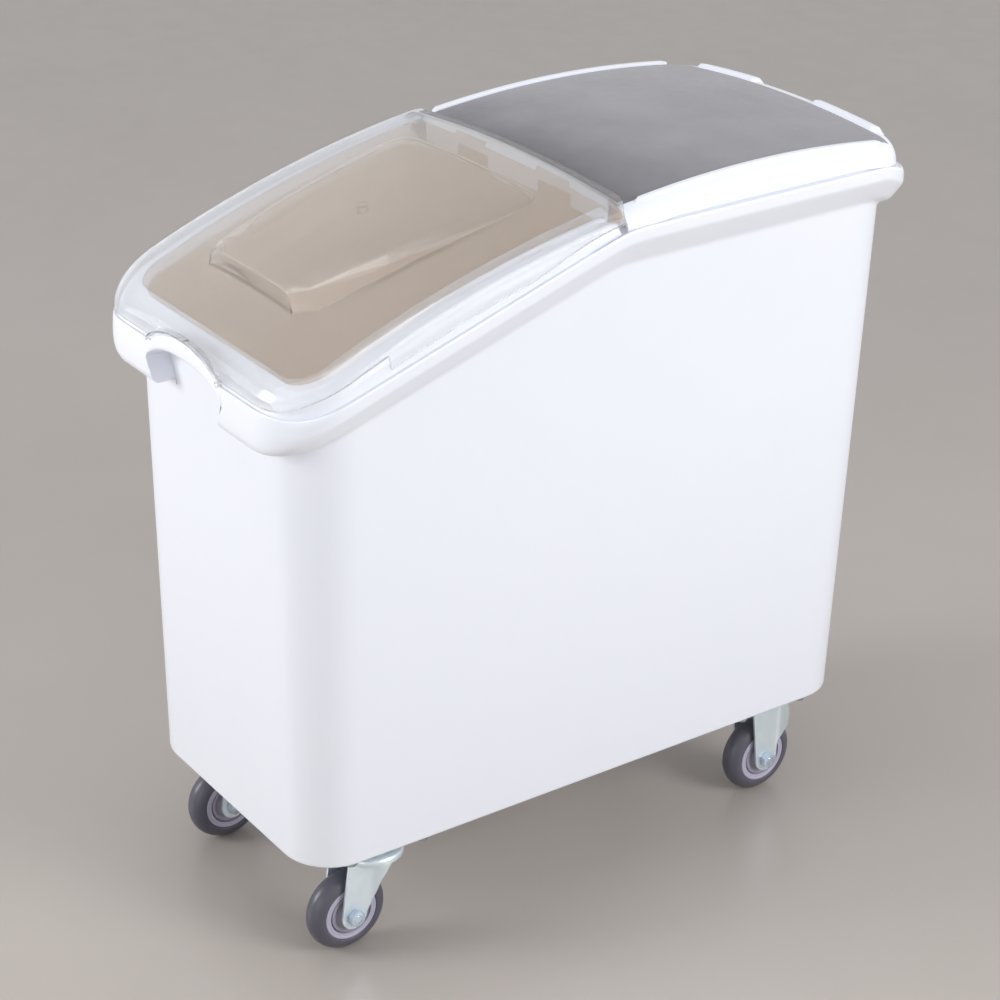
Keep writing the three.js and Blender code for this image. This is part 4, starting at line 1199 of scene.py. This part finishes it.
@dataclass
class RearLid:
    """The lift-off rear lid: crowned shell, two rails, two stop ribs and flange."""

    shell: LidShell = field(
        default_factory=lambda: LidShell(
            half_x=168.8, end=332.5, open_y=-5.0, skirt_open_y=-5.0, radius=52.0, crown=1126.7, fall=7.6, fall_at=140.0,
            shoulder_across=19.0, shoulder_down=22.0, thickness=2.6, hand=1,
        )
    )
    seat_gap: float = 1.5
    rear_seat: float = 659.4
    rail_inner: float = 150.5
    rail_outer: float = 157.2
    rail_radius: float = 1120.5
    rail_front: float = 12.0
    rail_rear: float = 294.0
    rail_depth: float = 6.0
    rib_front: float = 309.0
    rib_rear: float = 322.0
    rib_inner: float = 40.0
    rib_outer: float = 128.0
    rib_height: float = 5.0
    flange_half: float = 139.2
    flange_bottom: float = 662.5
    flange_thickness: float = 2.8
    notch_inner: float = 38.0
    notch_outer: float = 86.0
    notch_top: float = 674.0

    def lower(self, s: Station) -> float:
        """Give the lower edge of the skirt, just over its seat."""
        return max(CURVE.gutter_height(s.y), self.rear_seat) + self.seat_gap

    def rail(self, hand: int) -> bpy.types.Object:
        """Model one rail: a bar with a rounded top, swept along the arc."""
        middle = hand * (self.rail_inner + self.rail_outer) / 2
        half = (self.rail_outer - self.rail_inner) / 2
        rings = []
        count = 60
        for i in range(count + 1):
            share = i / count
            y = lerp(self.rail_front, self.rail_rear, share)
            ease_in = min(1.0, min(y - self.rail_front, self.rail_rear - y) / half)
            width = half * math.sqrt(max(0.02, 1 - (1 - ease_in) ** 2))
            section = softened([(-1, -1), (1, -1), (1, 1), (-1, 1)], [0, 0, 0.5, 0.5], 5)
            ring = []
            for u, v in section:
                x = middle + u * width
                top = self.rail_radius - 1.2 * (1 - ease_in)
                ring.append(Vector((x, y, CURVE.height(y, top - self.rail_depth * (1 - v) / 2))))
            rings.append(ring)
        piece = sheet_of(f"rear_lid_rail_{'right' if hand > 0 else 'left'}", rings, closed=True)
        cap_holes(piece)
        smooth(piece, 50)
        return place_piece(piece, WHITE_SHELL, "rear_lid", "rear_lid_shell")

    def rib(self, hand: int) -> bpy.types.Object:
        """Model one stop rib: a wedge that leans back, with rounded ends."""

        def section(x: float) -> list[tuple[float, float]]:
            fall = self.shell.fall * (x / self.shell.fall_at) ** 2
            low = self.shell.crown - fall - 3
            top = self.shell.crown - fall + self.rib_height - 1.5
            return [
                (self.rib_front - 1, CURVE.height(self.rib_front, low)),
                (self.rib_rear + 3, CURVE.height(self.rib_rear, low)),
                (self.rib_rear - 1, CURVE.height(self.rib_rear, top)),
                (self.rib_front + 4, CURVE.height(self.rib_front, top)),
            ]

        rings = []
        count = 24
        for i in range(count + 1):
            x = lerp(self.rib_inner, self.rib_outer, i / count)
            end = min(x - self.rib_inner, self.rib_outer - x)
            rise = math.sqrt(max(0.03, 1 - (1 - min(1.0, end / 5)) ** 2))
            corners = section(x)
            floor_z = corners[0][1]
            corners = [(y, floor_z + (z - floor_z) * (rise if k > 1 else 1)) for k, (y, z) in enumerate(corners)]
            rings.append([Vector((hand * x, y, z)) for y, z in softened(corners, [0, 0, 1.6, 1.6], 5)])
        piece = sheet_of(f"rear_lid_stop_{'right' if hand > 0 else 'left'}", rings, closed=True)
        cap_holes(piece)
        smooth(piece, 50)
        return place_piece(piece, WHITE_SHELL, "rear_lid", "rear_lid_shell")

    def flange(self) -> bpy.types.Object:
        """Model the front flange that hangs into the mouth, with its two notches."""
        y = self.shell.open_y
        top = [
            (x, self.shell.crown_height(x, y, self.shell.thickness - 0.6))
            for x in spread(self.flange_half, -self.flange_half, 25)
        ]
        line = [(-self.flange_half, self.flange_bottom)]
        for left, right in ((-self.notch_outer, -self.notch_inner), (self.notch_inner, self.notch_outer)):
            line += [
                (left, self.flange_bottom), (left, self.notch_top), (right, self.notch_top), (right, self.flange_bottom),
            ]
        line.append((self.flange_half, self.flange_bottom))
        outline = softened(line, 1.5, 4) + top
        piece = prism("rear_lid_flange", outline, y + 0.05, y + self.flange_thickness, on_y)
        smooth(piece, 40)
        return place_piece(piece, WHITE_SHELL, "rear_lid", "rear_lid_shell")

    def build(self) -> None:
        """Model every part of the rear lid."""
        piece = self.shell.skin("rear_lid_panel", self.lower)
        smooth(piece, 50)
        place_piece(piece, REAR_SHELL, "rear_lid", "rear_lid_shell", ["rear_lid"])
        for hand in (-1, 1):
            self.rail(hand)
            self.rib(hand)
        self.flange()


@dataclass
class ClearLid:
    """The clear sliding lid: skirt with an arch, guide lips and a raised thumb grip."""

    shell: LidShell = field(
        default_factory=lambda: LidShell(
            half_x=171.5, end=341.5, open_y=-1.5, skirt_open_y=-11.0, radius=58.5, crown=1132.0, fall=7.0, fall_at=155.0,
            shoulder_across=22.0, shoulder_down=15.0, thickness=2.4, hand=-1,
            extra_sides=(-243.6, -244.4, -245.2, -246.4, -248.0, -22.0),
        )
    )
    front_radius: float = 1113.0
    corner_radius: float = 1110.6
    lip_radius: float = 1097.9
    lip_front: float = -245.0
    lip_level: float = -120.0
    lip_rear: float = -22.0
    arch_half: float = 59.0
    arch_rise: float = 17.0
    pull_lip_front: float = 346.2
    pull_lip_thickness: float = 1.3
    hook_line: Profile = ((0.8, -2.0), (2.4, -3.6), (4.4, -3.4), (5.6, -1.2), (6.0, 2.2))
    fascia_face: float = 344.4
    grip_front: float = -278.0
    grip_rear: float = -50.0
    grip_line: Profile = (
        (-278.0, 68.0), (-273.0, 73.0), (-262.0, 84.0), (-242.0, 90.0), (-189.0, 98.0), (-132.0, 103.5), (-86.0, 107.0),
    )
    grip_slope: Profile = ((-278.0, 7.0), (-270.0, 16.0), (-250.0, 30.0), (-220.0, 36.0))
    grip_front_rise: float = 17.5
    grip_rear_rise: float = 1.6
    grip_corner: float = 26.0
    grip_edge: float = 8.0
    grip_front_edge: float = 2.0
    gate_place: tuple[float, float] = (-7.0, -159.0)
    gate_radius: float = 4.6

    def lower(self, s: Station) -> float:
        """Give the lower edge of the skirt: arch in front, hooked guide lips on the sides."""
        if abs(s.ny) == 1:
            return self.arch_height(s.x)
        y = s.y
        corner = CURVE.height(y, self.corner_radius)
        if s.nx * s.nx < 1:
            front = CURVE.height(-self.shell.end, self.front_radius)
            return lerp(corner, front, smoothstep(s.ny**6))
        lip = self.lip_radius
        if y > self.lip_level:
            rear_rise = 12.6 * smoothstep((y - self.lip_level) / (self.lip_rear - self.lip_level))
            lip += rear_rise + 0.8 * max(0, (y + 22) / 26)
        return lerp(CURVE.height(y, lip), corner, smoothstep((self.lip_front - y) / 3))

    def arch_height(self, x: float) -> float:
        """Give the lower edge of the front skirt, which arches over the finger recess."""
        foot = CURVE.height(-self.shell.end, self.front_radius)
        return foot + self.arch_rise * arch_share(x / self.arch_half)

    def grip_half(self, y: float, inset: float) -> float:
        """Give half the grip's width at a y: narrow in front, wide and rounded behind."""
        corner = self.grip_corner
        half = along(self.grip_line, y)
        past = max(0.0, y + inset - (self.grip_rear - corner)) / corner
        return half - inset - corner * 0.6 * (1 - math.sqrt(max(0.0, 1 - min(1.0, past) ** 2)))

    def grip(self, name: str, inset: float, edge: float, steps: int = 40) -> bpy.types.Object:
        """Model the grip, or the hollow inside it, as a solid.

        Args:
            name: The new object's name.
            inset: How far inside the grip's outside it lies.
            edge: The radius of its upper edges.
            steps: Sections along the grip.

        Returns:
            The closed wedge.
        """
        start, end = self.grip_front + inset, self.grip_rear - inset
        length = end - start
        places = [start + length * (1 - math.cos(math.pi * i / steps)) / 2 for i in range(steps + 1)]
        rings = []
        for y in places:
            half = self.grip_half(y, inset)
            share = (y - self.grip_front) / (self.grip_rear - self.grip_front)
            rise = lerp(self.grip_front_rise, self.grip_rear_rise, share)
            lip = min(edge, self.grip_front_edge)
            front_round = lip - math.sqrt(max(0.0, lip**2 - max(0.0, lip - (y - start)) ** 2))
            end_round = 1 - math.sqrt(max(0.0, 1 - max(0.0, 1 - (end - y) / 3) ** 2))
            top = rise - inset - front_round - end_round
            low = -self.shell.thickness - 6.0 if inset else -self.shell.thickness / 2
            crease = max(low + 0.4, 0.3 - inset)
            upper = half - along(self.grip_slope, y)
            shoulder = lerp(crease, top, 0.94)
            line = [
                Vector((half, low, 0)),
                Vector((half, crease, 0)),
                Vector((lerp(half, upper, 0.12), lerp(crease, top, 0.3), 0)),
                Vector((lerp(half, upper, 0.42), lerp(crease, top, 0.74), 0)), Vector((upper, shoulder, 0)),
                Vector((upper * 0.8, top, 0)), Vector((0, top, 0)),
            ]
            half_line = rounded(line, [0, 0.3, edge, edge, edge, edge, 0], 4)[:-1]
            across = [(p.x, p.y) for p in half_line] + [(upper * s, top) for s in (0.5, 0.25, 0)]
            full = across + [(-x, z) for x, z in reversed(across[:-1])]
            full += [(x, low) for x in (-half * 0.5, 0.0, half * 0.5)]
            rings.append([Vector((x, y, self.shell.crown_height(x, y, -z))) for x, z in full])
        piece = sheet_of(name, rings, closed=True)
        cap_holes(piece)
        return piece

    def pull_lip(self) -> bpy.types.Object:
        """Model the lip that flares out along the arch and ends in two small hooks."""
        foot = CURVE.height(-self.shell.end, self.front_radius)
        half = self.arch_half
        line = [Vector((x, 0, self.arch_height(x))) for x in (half * math.sin(a) for a in spread(0, math.pi / 2, 30))]
        line += [Vector((half + x, 0, foot + z)) for x, z in self.hook_line]
        right = rounded(line, [0.0] * 30 + [2.0] * (len(line) - 30), 4)
        path = [Vector((-p.x, 0, p.z)) for p in reversed(right[1:])] + right
        rings = []
        inner, outer, depth = self.shell.end - self.shell.thickness, self.pull_lip_front, self.pull_lip_thickness
        for before, point, after in zip([path[0], *path[:-1]], path, [*path[1:], path[-1]], strict=True):
            run = (after - before).normalized()
            out = Vector((-run.z, 0, run.x))
            share = smoothstep((foot + 1.5 - point.z) / 2.5) if abs(point.x) > half - 1 else 0.0
            near = lerp(inner + 0.2, self.fascia_face, share)
            section = softened([(near, 0), (outer, 0), (outer, depth), (near, depth)], [0, 0.9, 0.9, 0], 4)
            rings.append([point + out * rise + Vector((0, -y, 0)) for y, rise in section])
        piece = sheet_of("pull_lip", rings, closed=True)
        cap_holes(piece)
        return piece

    def gate(self) -> bpy.types.Object:
        """Model the small ring that the moulding gate leaves on the crown."""
        x, y = self.gate_place
        height = self.shell.crown_height(x, y)
        section = softened([(-0.7, -0.8), (0.7, -0.8), (0.7, 0.5), (-0.7, 0.5)], [0, 0, 0.45, 0.45], 4)
        profile = [(self.gate_radius + across, up) for across, up in section]
        piece = turned("gate_ring", profile, (x, y, height), axis="Z", steps=40)
        slope = (self.shell.crown_height(x, y + 1) - self.shell.crown_height(x, y - 1)) / 2
        for vertex in piece.data.vertices:
            vertex.co.z += slope * (vertex.co.y - y * MM)
        return piece

    def build(self) -> None:
        """Model the clear lid: its shell with the pull lip, the grip and the gate ring."""
        piece = self.shell.skin("clear_lid_shell", self.lower)
        combine(piece, self.pull_lip(), "UNION")
        combine(piece, self.grip("grip_outside", 0.0, self.grip_edge), "UNION")
        hollow = self.grip("grip_inside", self.shell.thickness, self.grip_edge - self.shell.thickness)
        combine(piece, hollow, "DIFFERENCE")
        combine(piece, self.gate(), "UNION")
        smooth(piece, 35)
        place_piece(piece, CLEAR_SHEET, "front_lid", "clear_lid", ["front_lid"])


# Casters


def mirrored_profile(half: Outline) -> list[tuple[float, float]]:
    """Complete one side of a wheel's section with its mirror image."""
    return [*half, *[(radius, -along) for radius, along in reversed(half) if along]]


def hexagon(
    name: str, across: float, low: float, high: float, centre: Point, axis: str, bore: float = 0.0
) -> bpy.types.Object:
    """Model a hexagon head with chamfered corners.

    Args:
        name: The new object's name.
        across: Width across the flats, in millimetres.
        low: Where it starts along the axis.
        high: Where it ends.
        centre: Where the axis' zero stands.
        axis: X or Z.
        bore: The radius of a hole through it, or 0 for none.

    Returns:
        The head.
    """
    corner = across / math.sqrt(3)
    fall = (corner - across / 2) * 0.6
    head = turned(
        name, [(0.0, low - 1), (corner, low - 1), (corner, high + 1), (0.0, high + 1)], centre, axis, steps=6
    )
    barrel = turned(
        "barrel",
        [
            (bore, low), (across * 0.485, low), (corner + 0.3, low + fall), (corner + 0.3, high - fall),
            (across * 0.485, high), (bore, high),
        ],
        centre,
        axis,
        steps=48,
    )
    combine(head, barrel, "INTERSECT")
    return head


@dataclass
class Wheel:
    """A soft tyre on a wheel centre with a pale ring, a groove and a stepped web."""

    prefix: str
    centre: Point
    radius: float = 40.0
    steps: int = 96
    tyre_half: Profile = (
        (40.0, 0.0), (39.7, 2.5), (38.9, 5.0), (37.4, 7.4), (35.2, 9.4), (32.9, 10.8), (30.6, 11.6),
        (28.8, 11.8), (27.7, 11.6), (27.15, 11.2), (27.0, 10.7),
    )
    ring_half: Profile = (
        (26.95, 0.0), (26.95, 10.7), (26.5, 11.2), (25.8, 11.4), (24.3, 11.3), (23.8, 10.9), (23.2, 11.2),
        (22.3, 11.2), (21.7, 11.0), (21.4, 10.5), (21.4, 7.6),
    )
    core_half: Profile = (
        (21.35, 0.0), (21.35, 7.6), (20.1, 7.6), (20.0, 10.0), (19.6, 10.5), (18.8, 10.7), (17.2, 10.5),
        (15.8, 9.4), (14.6, 8.9), (11.6, 8.9), (10.4, 9.6), (9.6, 10.5), (8.8, 10.9), (7.2, 10.9), (6.5, 10.4),
    )

    def build(self) -> None:
        """Model the tyre, the pale ring and the wheel centre."""
        body = f"{self.prefix}_wheel"
        for part, half, finish, slot, nodes in (
            ("tread", self.tyre_half, TREAD, "tread", [f"{self.prefix}_tyre"]),
            ("hub_ring", self.ring_half, HUB_RING, "hub", []),
            ("hub_core", self.core_half, HUB, "hub", [f"{self.prefix}_hub"]),
        ):
            piece = turned(f"{self.prefix}_{part}", mirrored_profile(half), self.centre, steps=self.steps)
            smooth(piece, 35)
            place_piece(piece, finish, body, slot, nodes)


@dataclass
class Pressing:
    """A fork bent from one sheet: two legs under a bridge, creased and flared along their rear edges."""

    centre: Point
    top: float
    front_top: float
    rear_line: Profile
    crease_line: Profile
    outer: float = 17.3
    sheet: float = 2.4
    axle: float = 40.0
    tip: float = 13.0
    bend: float = 5.0
    columns: int = 26
    edge: float = 0.35

    def span(self, z: float) -> tuple[float, float]:
        """Give where a leg starts and ends along y at a height."""
        if z < self.axle:
            half = math.sqrt(max(0.0, self.tip**2 - (self.axle - z) ** 2))
            return -half, half
        share = (z - self.axle) / (self.top - self.axle)
        return lerp(-self.tip, self.front_top, share), along(self.rear_line, z)

    def rows(self) -> list[list[Vector]]:
        """List the sheet's rows from the foot of the right leg to the middle of the bridge."""
        places = [self.axle - self.tip * math.cos(a) for a in spread(0, math.pi / 2, 9)]
        places += spread(self.axle, self.top - self.bend, 16)[1:]
        sections = [(0.0, z, 0.0) for z in places]
        for angle in spread(0, math.pi / 2, 7)[1:]:
            rise = self.top - self.bend * (1 - math.sin(angle))
            sections.append((self.bend * (1 - math.cos(angle)), rise, 0.0))
        sections += [(self.bend, self.top, share) for share in (0.33, 0.66, 1.0)]
        rows = []
        for inset, z, share in sections:
            front, rear = self.span(z)
            row = []
            for y in spread(front, rear, self.columns):
                out = self.outer + along(self.crease_line, y) - inset
                row.append(Vector((lerp(out, 0.0, share), y, z)))
            rows.append(row)
        return rows

    def build(self, name: str) -> bpy.types.Object:
        """Model the bent sheet with rounded edges."""
        right = self.rows()
        left = [[Vector((-p.x, p.y, p.z)) for p in row] for row in reversed(right[:-1])]
        base = Vector(self.centre)
        piece = sheet_of(name, [[p + base for p in row] for row in right + left], closed=False)
        tidy_mesh(piece, outward=True, merge=1e-5)
        face_up(piece)
        modify(piece, "SOLIDIFY", thickness=self.sheet * MM, offset=-1.0, use_even_offset=True)
        bevel_edges(piece, self.edge, 2, 60)
        return piece


def plate_outline(half_x: float, half_y: float, corner: float) -> list[tuple[float, float]]:
    """Give a mounting plate's outline with its rounded corners."""
    return softened([(-half_x, -half_y), (half_x, -half_y), (half_x, half_y), (-half_x, half_y)], corner, 8)


@dataclass
class Caster:
    """What every caster has: a plate with four bolts, a wheel, a sleeve and an axle bolt with its nut."""

    prefix: str
    hand: int
    plate_y: float
    axle_y: float
    body: str
    side: float = 110.5
    axle_z: float = 40.0
    leg_outer: float = 17.3
    gap: float = 0.3
    plate_half: tuple[float, float] = (31.5, 49.0)
    plate_corner: float = 8.0
    plate_low: float = 111.7
    plate_high: float = 114.7
    bolt_places: Profile = ((27.0, 38.0), (-27.0, 38.0), (-27.0, -38.0), (27.0, -38.0))
    bolt_across: float = 11.0
    hex_across: float = 14.5
    nut_thickness: float = 6.0

    @property
    def x(self) -> float:
        """Give the caster's middle."""
        return self.hand * self.side

    def plate(self, name: str) -> bpy.types.Object:
        """Model the mounting plate with its bolt holes."""
        outline = [(self.x + u, self.plate_y + v) for u, v in plate_outline(*self.plate_half, self.plate_corner)]
        piece = prism(name, outline, self.plate_low, self.plate_high, on_z)
        bevel_edges(piece, 0.5, 2)
        for u, v in self.bolt_places:
            place = (self.x + u, self.plate_y + v, 0)
            hole = turned("hole", [(0, 110), (4.0, 110), (4.0, 116), (0, 116)], place, "Z", 24)
            combine(piece, hole, "DIFFERENCE")
        return piece

    def bolts(self) -> None:
        """Model the four plate bolts: one, and three copies with meshes of their own."""
        head_top = self.plate_low - self.gap
        u0, v0 = self.bolt_places[0]
        place = (self.x + u0, self.plate_y + v0, 0)
        first = hexagon(f"{self.prefix}_hex_screw_1", self.bolt_across, head_top - 4.5, head_top, place, "Z")
        collar = turned(
            "collar",
            [(0, head_top - 1.2), (6.6, head_top - 1.2), (7.2, head_top - 0.8), (7.2, head_top), (3.3, head_top),
             (3.3, 118.6), (2.9, 119.0), (0, 119.0)],
            place, "Z", 32,
        )
        combine(first, collar, "UNION")
        smooth(first, 30)
        for i, (u, v) in enumerate(self.bolt_places):
            piece = first
            if i:
                piece = first.copy()
                piece.data = first.data.copy()
                piece.name = f"{self.prefix}_hex_screw_{i + 1}"
                piece.data.name = piece.name
                piece.data.transform(Matrix.Translation(Vector((u - u0, v - v0, 0)) * MM))
                bpy.context.scene.collection.objects.link(piece)
            place_piece(piece, FASTENER, "bin", "steel", [f"{self.prefix}_plate_bolt_{i + 1}"])

    def axle(self) -> None:
        """Model the sleeve, the axle bolt and the nut that faces away from the bin."""
        centre = (self.x, self.axle_y, self.axle_z)
        start = self.leg_outer + self.gap
        end = start + self.nut_thickness
        hand = self.hand
        sleeve = turned(
            f"{self.prefix}_spacer_tube",
            [(4.5, -14.5), (6.0, -14.5), (6.2, -14.2), (6.2, 14.2), (6.0, 14.5), (4.5, 14.5)], centre, steps=40,
        )
        smooth(sleeve, 35)
        place_piece(sleeve, FASTENER, self.body, "steel", [f"{self.prefix}_sleeve"])
        shaft = turned(
            f"{self.prefix}_hex_axle",
            [(0, -hand * (start + 1)), (4.2, -hand * (start + 1)), (4.2, hand * (end - 0.6)), (3.6, hand * end),
             (0, hand * (end + 0.1))],
            centre, steps=32,
        )
        head = hexagon(
            "axle_head", self.hex_across, *sorted((-hand * (start + 4.2), -hand * start)), centre, "X"
        )
        combine(shaft, head, "UNION")
        smooth(shaft, 30)
        place_piece(shaft, BOLT, self.body, "zinc", [f"{self.prefix}_axle_bolt"])
        low, high = sorted((hand * start, hand * end))
        nut = hexagon(f"{self.prefix}_hex_nut", self.hex_across, low, high, centre, "X", bore=4.25)
        smooth(nut, 30)
        place_piece(nut, BOLT, self.body, "zinc", [f"{self.prefix}_axle_nut"])

    def axle_hole(self, piece: bpy.types.Object) -> None:
        """Drill the fork for its axle."""
        centre = (self.x, self.axle_y, self.axle_z)
        combine(piece, turned("hole", [(0, -30), (4.5, -30), (4.5, 30), (0, 30)], centre, steps=32), "DIFFERENCE")

    def build(self) -> None:
        """Model the whole caster."""
        Wheel(self.prefix, (self.x, self.axle_y, self.axle_z)).build()
        self.bolts()
        self.axle()
        self.fork()

    def fork(self) -> None:
        """Model what carries the wheel."""


@dataclass
class FixedCaster(Caster):
    """A rear caster whose fork is one with its plate."""

    def fork(self) -> None:
        """Model the plate with its two straight legs."""
        pressing = Pressing(
            centre=(self.x, self.axle_y, 0),
            top=self.plate_low + 0.6,
            front_top=-22.5,
            rear_line=((40, 13), (56, 13), (66, 17.4), (76, 19.8), (86, 20.4), (97, 19.6), (107, 16.5), (112, 14)),
            crease_line=((12.0, 0), (14.5, 0.7), (17.0, 2.9), (21.0, 7.0)),
        )
        piece = pressing.build(f"{self.prefix}_bracket")
        combine(piece, self.plate("plate"), "UNION")
        self.axle_hole(piece)
        smooth(piece, 30)
        place_piece(piece, ZINC, self.body, "zinc", [f"{self.prefix}_fork"])


@dataclass
class SwivelCaster(Caster):
    """A front caster that turns under its plate on a ring of balls."""

    race: Profile = (
        (6.3, 111.4), (6.3, 107.5), (17.0, 105.3), (22.5, 104.9), (26.0, 105.1), (27.4, 106.0), (27.6, 107.4),
        (26.6, 109.0), (25.0, 110.4), (24.4, 111.4),
    )
    ball_ring: Profile = (
        (6.3, 102.0), (22.4, 102.0), (23.0, 102.6), (23.0, 104.0), (22.4, 104.6), (6.3, 104.6),
    )
    crown: Profile = (
        (6.4, 101.7), (25.5, 101.7), (27.8, 101.3), (29.6, 100.1), (30.7, 98.4), (31.0, 96.4), (31.0, 94.6),
        (28.7, 94.6), (28.6, 96.4), (27.8, 98.0), (26.0, 98.9), (6.4, 99.0),
    )
    pin: Profile = (
        (0, 95.4), (7.4, 95.4), (9.0, 96.2), (9.5, 97.4), (9.5, 98.4), (6.0, 98.4), (6.0, 111.3), (0, 111.3),
    )

    def fork(self) -> None:
        """Model the plate, the race, the balls' ring, the kingpin and the creased fork."""
        place = (self.x, self.plate_y, 0)
        for part, profile, finish, slot, body, node in (
            ("race_dish", self.race, ZINC, "zinc", "bin", "race"),
            ("ball_track", self.ball_ring, FASTENER, "steel", self.body, "bearing_ring"),
            ("pivot", self.pin, FASTENER, "steel", "bin", "kingpin"),
        ):
            piece = turned(f"{self.prefix}_{part}", profile, place, "Z", 72)
            smooth(piece, 35)
            place_piece(piece, finish, body, slot, [f"{self.prefix}_{node}"])
        piece = self.plate(f"{self.prefix}_mounting_plate")
        smooth(piece, 35)
        place_piece(piece, ZINC, "bin", "zinc", [f"{self.prefix}_plate"])
        trail = self.plate_y - self.axle_y
        pressing = Pressing(
            centre=(self.x, self.axle_y, 0),
            top=101.7,
            front_top=-5.2,
            rear_line=((40, 13), (50, 18.5), (62, 27), (78, 39), (88, 48), (95, 53.5), (98, 52), (101.7, 47)),
            crease_line=((16.0, 0), (17.6, -0.1), (30.0, -1.7), (37.0, -2.3), (42.0, -2.2), (48.0, -0.9), (54.0, 1.2)),
        )
        piece = pressing.build(f"{self.prefix}_swivel_fork")
        combine(piece, turned("crown", self.crown, place, "Z", 96), "UNION")
        combine(piece, turned("bore", [(0, 90), (6.4, 90), (6.4, 110), (0, 110)], place, "Z", 40), "DIFFERENCE")
        self.axle_hole(piece)
        smooth(piece, 30)
        logger.info("%s trails by %.1f mm", piece.name, trail)
        place_piece(piece, ZINC, self.body, "zinc", [f"{self.prefix}_fork"])


def build_casters() -> None:
    """Model the four casters."""
    for side, hand in (("left", -1), ("right", 1)):
        front = f"front_{side}"
        SwivelCaster(front, hand, plate_y=-228.0, axle_y=-255.8, body=f"{front}_swivel").build()
        FixedCaster(f"rear_{side}", hand, plate_y=229.5, axle_y=239.5, body="bin").build()


def dress_solids() -> None:
    """Give every solid that still shows its own finish."""
    finishes = {
        "white_shell": WHITE_SHELL,
        "rear_lid_shell": REAR_SHELL,
        "clear_lid": CLEAR_SHEET,
        "zinc": ZINC,
        "steel": FASTENER,
        "tread": TREAD,
        "hub": HUB,
    }
    for part in frame["record"]["subparts"]:
        node = frame["nodes"][part["node"]]
        if not node.hide_render:
            dress(node, finishes[part["material_slot"]])


@dataclass
class Studio:
    """A pale floor, soft lamps and the camera at the photograph's angle."""

    azimuth: float = 54.78
    elevation: float = 25.82
    roll: float = 1.03
    camera_place: Point = (1685.8, -1235.5, 1354.0)
    lens: float = 87.75
    shift: float = 0.0301
    horizon: float = 0.95
    zenith: float = 0.5
    floor_colour: str = "b9b2ac"
    floor_shade: str = "aea7a1"

    def build(self) -> None:
        """Set up the floor, the light and the camera."""
        scene = bpy.context.scene
        scene.view_settings.view_transform = "Standard"
        self.floor()
        self.sky(scene)
        self.lamp("side_softbox", (2.3, 0.9, 1.5), (0, 0, 0.4), 1.3, 36)
        self.lamp("front_softbox", (-1.1, -2.4, 1.2), (0, 0, 0.4), 1.0, 34)
        self.lamp("fill_softbox", (1.3, -2.6, 0.7), (0, 0, 0.4), 1.2, 5)
        self.lamp("top_softbox", (-0.2, -0.6, 2.9), (0, 0, 0.5), 1.0, 9)
        self.camera(scene)

    def floor(self) -> None:
        """Lay the floor."""
        deselect()
        bpy.ops.mesh.primitive_plane_add(size=14, location=(0, 0, 0))
        floor = named("studio_floor")
        settle(floor)
        finish = Finish(
            "porcelain_polished_floor", self.floor_colour, self.floor_shade, 0.32, 0.03,
            patch_mm=420, grain_mm=3, grain_depth_mm=0.002, swell_mm=260, swell_depth_mm=0.02,
        )
        dress(floor, finish)

    def sky(self, scene: bpy.types.Scene) -> None:
        """Light everything evenly from a pale surround."""
        world = bpy.data.worlds.new("studio_surround")
        world.use_nodes = True
        tree = world.node_tree
        background = tree.nodes["Background"]
        place = add_node(tree, "ShaderNodeTexCoord", {}).outputs["Generated"]
        axes = add_node(tree, "ShaderNodeSeparateXYZ", {"Vector": place})
        share = add_node(
            tree, "ShaderNodeMapRange",
            {"Value": axes.outputs["Z"], "From Min": 0.0, "From Max": 0.9, "To Min": self.horizon, "To Max": self.zenith},
        )
        background.inputs["Color"].default_value = linear("f6f6f8")
        tree.links.new(share.outputs["Result"], background.inputs["Strength"])
        scene.world = world

    def lamp(self, name: str, place: Point, target: Point, size: float, power: float) -> None:
        """Hang a square softbox that looks at a point."""
        data = bpy.data.lights.new(name, "AREA")
        data.size = size
        data.energy = power
        lamp = bpy.data.objects.new(name, data)
        bpy.context.scene.collection.objects.link(lamp)
        lamp.location = place
        lamp.rotation_euler = (Vector(target) - Vector(place)).to_track_quat("-Z", "Y").to_euler()

    def camera(self, scene: bpy.types.Scene) -> None:
        """Stand the camera where the photograph was taken from."""
        data = bpy.data.cameras.new("camera")
        data.lens = self.lens
        data.shift_x = self.shift
        camera = bpy.data.objects.new("camera", data)
        scene.collection.objects.link(camera)
        az, el, roll = (math.radians(a) for a in (self.azimuth, self.elevation, self.roll))
        back = Vector((math.sin(az) * math.cos(el), -math.cos(az) * math.cos(el), math.sin(el)))
        right = Vector((0, 0, 1)).cross(back).normalized()
        up = back.cross(right)
        x_axis = math.cos(roll) * right + math.sin(roll) * up
        y_axis = -math.sin(roll) * right + math.cos(roll) * up
        matrix = Matrix((x_axis, y_axis, back)).transposed().to_4x4()
        matrix.translation = Vector(self.camera_place) * MM
        camera.matrix_world = matrix
        scene.camera = camera


def main() -> None:
    """Dress the whole bin."""
    logging.basicConfig(level=logging.INFO, format="%(message)s")
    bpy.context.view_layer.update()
    BinBody().build()
    RearLid().build()
    ClearLid().build()
    build_casters()
    dress_solids()
    Studio().build()


if __name__ == "__main__":
    main()
